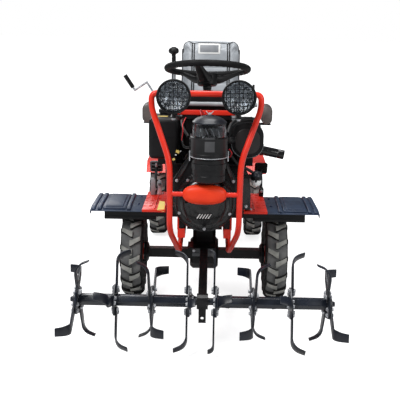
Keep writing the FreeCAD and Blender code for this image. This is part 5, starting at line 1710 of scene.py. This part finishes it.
def modelFootPlate():
    f = footPlate
    x0, x1, y0, y1, top = f["inner"], f["outer"], f["front"], f["rear"], f["top"]
    parts = [
        block("footSheet", place(x0, y0, top - f["thick"]), place(x1, y1, top), 0.0014, 2),
        block("footFlange", place(x0, y0 - 0.0042, f["flangeLow"]), place(x1, y0 + 0.0005, top), 0.0016, 2),
        block("footInner", place(x0, y0, top - 0.003), place(x0 + f["thick"], y1, f["wallTop"]), 0.0014, 2),
        block("footRib", place(f["ribX"] - f["ribHalf"], y0 + 0.02, top - 0.001),
              place(f["ribX"] + f["ribHalf"], f["ribRear"], top + 0.005), 0.0022, 3),
    ]
    cleat = block("cleat", (-0.011, -0.0022, -0.0004), (0.011, 0.0022, 0.0016), 0.0012, 2)
    for row in range(f["rows"]):
        for column in range(f["columns"]):
            x = f["firstX"] + column * f["pitchX"] + (f["ribGap"] if column > 1 else 0)
            degrees = f["cleatTurn"] if (row + column) % 2 else -f["cleatTurn"]
            slant = Matrix.Rotation(math.radians(degrees), 4, "Z")
            spot = place(x, f["firstY"] + row * f["pitchY"], top + 0.0002)
            parts.append(copied(cleat, "cleat", Matrix.Translation(spot) @ slant))
    bpy.data.objects.remove(cleat)
    plate = painted(joined("footPlate", parts), "red_paint")
    bolts = [painted(hexHead(place(f["boltX"], y, top + 0.0002), upward, 0.006), "bright_steel")
             for y in f["boltsY"]]
    return joined("footPlate", [plate] + bolts)


footTag = ((-0.232, -0.2055, 0.5), (-0.197, -0.2055, 0.492), (-0.196, -0.16, 0.53), (-0.222, -0.16, 0.534))


def addFootPlates():
    left = modelFootPlate()
    right = mirrored(left, "footPlateRight")
    shown(joined("footPlates", [left, right]), "front", "red_paint", "foot_plates")
    tag = slab("footTag", [place(*spot) for spot in footTag], Vector((0, 0.0012, 0.001)), 0.0003, 1)
    shown(painted(tag, "yellow_mark"), "front", "red_paint")
    print("fenders done")


# hoses, stays and covers
# cast saddle on the drive arm: low and high corner of each block, and its edge radius
saddle = {
    "blocks": (
        ("armSaddle", (-0.058, -0.1765, 0.2585), (0.041, -0.1725, 0.2985), 0.003),
        ("saddleLip", (-0.061, -0.1795, 0.2945), (0.044, -0.1725, 0.2995), 0.0015),
        ("saddleRidge", (-0.058, -0.1785, 0.2755), (-0.003, -0.1725, 0.2795), 0.0015),
    ),
    "bolts": ((-0.05, -0.1765, 0.2875), (0.033, -0.1765, 0.2875)), "boltSize": 0.0055,
}


def saddleParts():
    parts = [painted(block(name, place(*low), place(*high), edge, 2), "pedal_metal")
             for name, low, high, edge in saddle["blocks"]]
    return parts + [painted(hexHead(place(*spot), -acrossY, saddle["boltSize"]), "bright_steel")
                    for spot in saddle["bolts"]]


# a stay leans from the crankcase to the air cleaner on each side; spots are across and up
stay = {
    "top": ((0.07, 0.79), (0.086, 0.79)), "topY": -0.352, "shift": 0.008,
    "foot": ((0.142, 0.672), (0.124, 0.668)), "footY": -0.344, "thick": 0.012,
    "bolt": (0.131, -0.3445, 0.678), "boltSize": 0.0058,
}

# sheets on both sides of the engine: outline, place along and thickness
sideSheets = (
    ("sidePanel", ((0.095, 0.46), (0.1275, 0.7), (0.1275, 0.93), (0.1, 0.93)), 0.03, 0.05),
    ("sideApron", ((0.1, 0.5), (0.2, 0.58), (0.205, 0.735), (0.1, 0.76)), -0.02, 0.012),
)

cowl = {"frame": (0.1, 0.66, 0.2, 0.86), "corner": 0.02, "y": 0.0625, "thick": 0.004}


def stayParts(way):
    outline = [place(way * x + stay["shift"], stay["topY"], z) for x, z in stay["top"]]
    outline += [place(way * x, stay["footY"], z) for x, z in stay["foot"]]
    x, y, z = stay["bolt"]
    parts = [painted(slab("cleanerStay", outline, acrossY * stay["thick"], 0.0022, 2), "engine_gloss"),
             painted(hexHead(place(way * x, y, z), -acrossY, stay["boltSize"]), "bright_steel")]
    for name, spots, y, thick in sideSheets:
        outline = [place(way * x, y, z) for x, z in spots]
        parts.append(painted(slab(name, outline, acrossY * thick, 0.002, 2), "engine_black"))
    return parts


# bare tags on the engine: across, up, half size, turn and finish; and a strip under the tank
tags = {
    "y": -0.1125,
    "small": ((-0.138, 0.773, 0.009, 20, "yellow_mark"), (-0.157, 0.735, 0.0065, -30, "yellow_mark"),
              (-0.147, 0.757, 0.004, 10, "white_mark")),
    "strip": ((-0.236, -0.1125, 0.9435), (-0.187, -0.108, 0.9475)),
}


def tagParts():
    parts = []
    for x, z, size, degrees, slot in tags["small"]:
        tag = block("engineTag", (-size, -0.0008, -size * 0.8), (size, 0.0008, size * 0.8), 0.0006, 1)
        slant = Matrix.Rotation(math.radians(degrees), 4, "Y")
        parts.append(painted(moved(tag, Matrix.Translation(place(x, tags["y"], z)) @ slant), slot))
    low, high = tags["strip"]
    return parts + [painted(block("tankStrip", place(*low), place(*high), 0.001, 1), "yellow_mark")]


def addStays():
    parts = saddleParts()
    for way in (-1, 1):
        parts += stayParts(way)
    outline = roundedFrame(*cowl["frame"], cowl["corner"], 5)
    side = slab("cowlSide", [place(x, cowl["y"], z) for x, z in outline], acrossY * cowl["thick"], 0.001, 2)
    parts += [painted(side, "engine_black")] + tagParts()
    shown(joined("engineStays", parts), "front", "engine_black")
    addPedalWork()
    addHoseGuard()


# bracket and casting beside the right pedal: outlines across and up, at one place along
pedalWork = {
    "y": 0.112,
    "bracket": ((-0.288, 0.502), (-0.262, 0.502), (-0.262, 0.57), (-0.268, 0.592), (-0.284, 0.592),
                (-0.288, 0.585)),
    "bracketThick": 0.006,
    "casting": ((-0.256, 0.502), (-0.228, 0.502), (-0.232, 0.528), (-0.226, 0.545), (-0.23, 0.575),
                (-0.244, 0.584), (-0.253, 0.57), (-0.249, 0.54)),
    "castingThick": 0.014, "pin": (-0.24, 0.1115, 0.56), "pinSize": 0.0065,
}


def addPedalWork():
    work = pedalWork
    bracket = slab("pedalBracket", [place(x, work["y"], z) for x, z in work["bracket"]],
                   acrossY * work["bracketThick"], 0.0015, 2)
    casting = slab("pedalCasting", [place(x, work["y"], z) for x, z in work["casting"]],
                   acrossY * work["castingThick"], 0.003, 2)
    pin = painted(hexHead(place(*work["pin"]), -acrossY, work["pinSize"]), "pedal_metal")
    whole = joined("pedalWork", [painted(bracket, "cast_light"), painted(casting, "bright_steel"), pin])
    shown(whole, "front", "bright_steel")


hoseGuard = {
    "outline": ((0.168, 0.505), (0.222, 0.505), (0.222, 0.6), (0.212, 0.67), (0.186, 0.73), (0.168, 0.74)),
    "y": -0.2, "thick": 0.03, "edge": 0.006, "bolt": (0.2, -0.2005, 0.525),
}


def addHoseGuard():
    outline = [place(x, hoseGuard["y"], z) for x, z in hoseGuard["outline"]]
    guard = slab("hoseGuard", outline, acrossY * hoseGuard["thick"], hoseGuard["edge"], 4)
    bolt = painted(hexHead(place(*hoseGuard["bolt"]), -acrossY, 0.006), "bright_steel")
    shown(joined("hoseGuard", [painted(guard, "engine_gloss"), bolt]), "front", "engine_black")


# radius and the spots that each one passes, from the engine outwards
hoses = {
    "hoseA": (0.0085, [(0.1, -0.33, 0.9), (0.12, -0.25, 0.945), (0.2, -0.17, 0.95), (0.245, -0.12, 0.94),
                       (0.26, 0.02, 0.945)]),
    "hoseB": (0.0075, [(0.1, -0.33, 0.885), (0.125, -0.22, 0.925), (0.19, -0.165, 0.935),
                       (0.24, -0.13, 0.925), (0.268, 0.02, 0.938)]),
    "hoseC": (0.0065, [(0.098, -0.33, 0.87), (0.112, -0.24, 0.88), (0.118, -0.18, 0.9),
                       (0.14, -0.16, 0.938), (0.22, -0.14, 0.95)]),
    "hoseD": (0.007, [(-0.08, -0.32, 0.88), (-0.11, -0.24, 0.91), (-0.12, -0.14, 0.93),
                      (-0.11, 0.0, 0.92)]),
    "hoseE": (0.006, [(-0.07, -0.33, 0.83), (-0.105, -0.26, 0.82), (-0.118, -0.18, 0.86),
                      (-0.112, -0.02, 0.9)]),
    "fuelHose": (0.005, [(-0.13, 0.0, 0.75), (-0.11, -0.04, 0.72), (-0.1, -0.12, 0.74),
                         (-0.085, -0.2, 0.78)]),
    "wireRed": (0.0026, [(0.0, -0.38, 0.955), (-0.022, -0.39, 0.985), (-0.03, -0.3, 1.01),
                         (-0.012, -0.2, 0.97), (-0.01, -0.04, 0.96)]),
    "wireBright": (0.0022, [(-0.112, -0.3, 0.86), (-0.105, -0.31, 0.9), (-0.11, -0.28, 0.93),
                            (-0.1, -0.1, 0.94)]),
    "wirePink": (0.0032, [(0.108, -0.34, 0.83), (0.122, -0.34, 0.812), (0.115, -0.32, 0.79),
                          (0.105, -0.29, 0.78)]),
    "hoseF": (0.0075, [(0.11, -0.28, 0.8), (0.15, -0.24, 0.74), (0.19, -0.22, 0.72),
                       (0.235, -0.205, 0.69)]),
}


def addHoses():
    parts = []
    for name, (radius, route) in hoses.items():
        slot = "red_wire" if name.startswith("wire") else "black_plastic"
        parts.append(painted(tube(name, [place(*spot) for spot in route], radius, 0.05, 8, 3), slot))
    shown(joined("engineHoses", parts), "front", "black_plastic")
    print("hoses done")


# cup and cap are (radius, height) pairs above the foot of the cup
fuelFilter = {
    "lift": 0.027,
    "cup": [(0, 0), (0.0035, 0), (0.004, 0.0035), (0.011, 0.0045), (0.0175, 0.0085), (0.0222, 0.0155),
            (0.0242, 0.026), (0.0244, 0.048), (0, 0.048)],
    "cap": [(0, 0.047), (0.0252, 0.047), (0.0258, 0.0485), (0.0258, 0.0555), (0.0246, 0.0575),
            (0.022, 0.067), (0.0155, 0.0745), (0.006, 0.0785), (0, 0.079)],
    "screw": Vector((-0.003, -0.0246, 0.03)), "screwSize": 0.0035,
}


def addFilter():
    low, high = nodeBox("filter_bowl")
    foot = Vector(((low.x + high.x) / 2, (low.y + high.y) / 2, low.z + fuelFilter["lift"]))
    cup = spun("filterCup", fuelFilter["cup"], foot, upward, 48, 40)
    cap = spun("filterCap", fuelFilter["cap"], foot, upward, 48, 40)
    screw = painted(hexHead(foot + fuelFilter["screw"], -acrossY, fuelFilter["screwSize"]), "black_paint")
    whole = joined("filterBowl", [painted(cup, "filter_glass"), painted(cap, "lid_paint"), screw])
    shown(whole, "front", "filter_glass", "filter_bowl")


# rotor
rotor = {
    "y": -0.74, "z": 0.236, "first": 0.058, "pitch": 0.159, "count": 4, "plate": 0.008, "radius": 0.06,
    "tube": 0.046, "tail": 0.018, "neck": 0.026, "neckTube": 0.028, "journal": 0.0168, "journalHalf": 0.028,
    "endBolt": 0.012, "tip": 0.222, "width": 0.044, "thick": 0.008, "bend": 0.052, "turn": math.radians(68),
    "end": 0.024, "shortBend": 0.024, "shortEnd": 0.01, "slant": math.radians(35),
    "phase": (-16, 29, -16, 29),
    "ways": {1: (-1, 1, 1, -1), -1: (-1, -1, 1, 1)}, "bolts": ((0.039, 0.011), (0.054, -0.009)),
    "boltSize": 0.0078,
}


# flat shank, a smooth side bend about a slanted fold line and a ground end
def tineBlade(bend, end):
    turn, half = rotor["turn"], rotor["width"] / 2
    knee = rotor["tip"] - bend * math.sin(turn) - end * math.cos(turn) - 0.006
    root = rotor["tube"] / 2 + 0.007
    slant = rotor["slant"]
    along = Vector((0, math.sin(slant), math.cos(slant)))
    cross = Vector((0, -math.cos(slant), math.sin(slant)))
    thin = rotor["thick"] / 2
    loops = []

    def station(centre, lead, side, left, right):
        loops.append([centre + lead * left - side, centre + lead * left + side,
                      centre - lead * right + side * 0.94, centre - lead * right - side * 0.94])

    for share in (0, 0.35, 0.7, 0.97):
        centre = Vector((0, 0, root)).lerp(Vector((0, 0, knee)), share)
        lead = Vector((0, -1, 0)).lerp(cross, share ** 3).normalized()
        station(centre, lead, acrossX * thin, half, half)
    for step in range(11):
        angle = turn * min(1, step / 8)
        extra = end * max(0, step - 8) / 2
        out = bend * math.sin(angle) + extra * math.cos(angle)
        over = bend - bend * math.cos(angle) + extra * math.sin(angle)
        centre = Vector((over, 0, knee)) + along * out
        side = (acrossX * math.cos(angle) - along * math.sin(angle)) * thin * (1 - 0.035 * step)
        ground = max(0, step - 4) / 6
        station(centre, cross, side, half * (1 - 0.1 * ground), half * (1 - 0.28 * ground))
    return lofted("tine", loops, 0.0012, 2, 40)


# which way each blade bends turns over from quarter to quarter
def addTines():
    shift = Matrix.Translation(acrossX * (rotor["plate"] + rotor["thick"]) / 2)
    longBlade = moved(tineBlade(rotor["bend"], rotor["end"]), shift)
    shortBlade = moved(tineBlade(rotor["shortBend"], rotor["shortEnd"]), shift)
    parts = []
    for side in (1, -1):
        for step in range(rotor["count"]):
            hub = place(side * (rotor["first"] + rotor["pitch"] * step), rotor["y"], rotor["z"])
            for quarter in range(4):
                way = rotor["ways"][side][step] * (1 if quarter % 2 == 0 else -1)
                blade = shortBlade if step == 0 and way == -side else longBlade
                turn = Matrix.Rotation(math.radians(90 * quarter + rotor["phase"][step]), 4, "X")
                parts.append(tineCopy(blade, way, hub, turn))
                parts += tineBolts(hub, way, turn)
    for model in (longBlade, shortBlade):
        bpy.data.objects.remove(model)
    shown(joined("rotorTines", parts), "rotor", "tine_steel", "tines")
    print("tines done")


def tineCopy(blade, way, hub, turn):
    copy = copied(blade, "blade", Matrix.Identity(4)) if way > 0 else mirrored(blade, "blade")
    moved(copy, Matrix.Translation(hub) @ turn)
    return painted(copy, "tine_steel")


# a nut on the blade and a bolt head on the other side of the plate
def tineBolts(hub, way, turn):
    bolts = []
    for out, lead in rotor["bolts"]:
        face = hub + turn @ Vector((way * (rotor["plate"] / 2 + rotor["thick"] + 0.0002), lead, out))
        back = hub + turn @ Vector((-way * (rotor["plate"] / 2 + 0.0002), lead, out))
        bolts.append(painted(copied(boltModel(way), "tineBolt", Matrix.Translation(face)), "bright_steel"))
        bolts.append(painted(copied(boltModel(-way), "tineBolt", Matrix.Translation(back)), "bright_steel"))
    return bolts


boltModels = {}


def boltModel(way):
    if way not in boltModels:
        boltModels[way] = hexHead(Vector(), acrossX * way, rotor["boltSize"])
    return boltModels[way]


def addRotorShaft():
    parts = []
    start = rotor["first"] - rotor["plate"] / 2
    end = rotor["first"] + rotor["pitch"] * (rotor["count"] - 1) + rotor["tail"]
    for side in (1, -1):
        parts.append(hexTube(side * start, side * end, rotor["tube"]))
        parts.append(hexTube(side * rotor["neck"], side * start, rotor["neckTube"]))
        for step in range(rotor["count"]):
            parts.append(flangePlate(side * (rotor["first"] + rotor["pitch"] * step), rotor["phase"][step]))
        parts.append(hexHead(place(side * end, rotor["y"], rotor["z"]), acrossX * side, rotor["endBolt"]))
    ends = [place(side * rotor["journalHalf"], rotor["y"], rotor["z"]) for side in (-1, 1)]
    parts.append(tube("journal", ends, rotor["journal"], 0, 1, 5))
    whole = painted(joined("rotorShaft", parts), "rotor_paint")
    shown(whole, "rotor", "rotor_paint", "rotor_shaft")
    for model in boltModels.values():
        bpy.data.objects.remove(model)
    print("rotor done")


def hexTube(x0, x1, flats):
    radius = flats / math.sqrt(3)
    points = [place(x0, rotor["y"] + radius * math.cos(math.radians(60 * k)),
                    rotor["z"] + radius * math.sin(math.radians(60 * k))) for k in range(6)]
    return slab("hexTube", points, Vector((x1 - x0, 0, 0)), 0.0025, 3)


def flangePlate(x, phase):
    half, reach = rotor["width"] / 2, rotor["radius"] + 0.006
    points = []
    for step in range(4):
        turn = math.pi / 2 * step - math.radians(phase)
        for a in (-half, half):
            y = rotor["y"] + a * math.cos(turn) + reach * math.sin(turn)
            z = rotor["z"] + reach * math.cos(turn) - a * math.sin(turn)
            points.append(place(x - rotor["plate"] / 2, y, z))
    return slab("flange", points, Vector((rotor["plate"], 0, 0)), 0.0012)


# making it
def dressNodes():
    for entry in frame["record"]["subparts"]:
        piece = frame["nodes"][entry["node"]]
        if not piece.material_slots:
            piece.data.materials.append(None)
        for holder in piece.material_slots:
            holder.material = finish[entry["material_slot"]]
    print("frame nodes dressed")


addStage()
addMaterials()
dressNodes()
addTyres()
addBullBar()
addPod()
addLamps()
addSeatCushion()
addSeatBack()
addSteeringWheel()
addAirCleaner()
addShroud()
addTank()
addMuffler()
addTines()
addRotorShaft()
addGearLever()
addGrabBar()
addLedge()
addPedals()
addSideBoxes()
addFenders()
addFootPlates()
addStays()
addHoses()
addFilter()
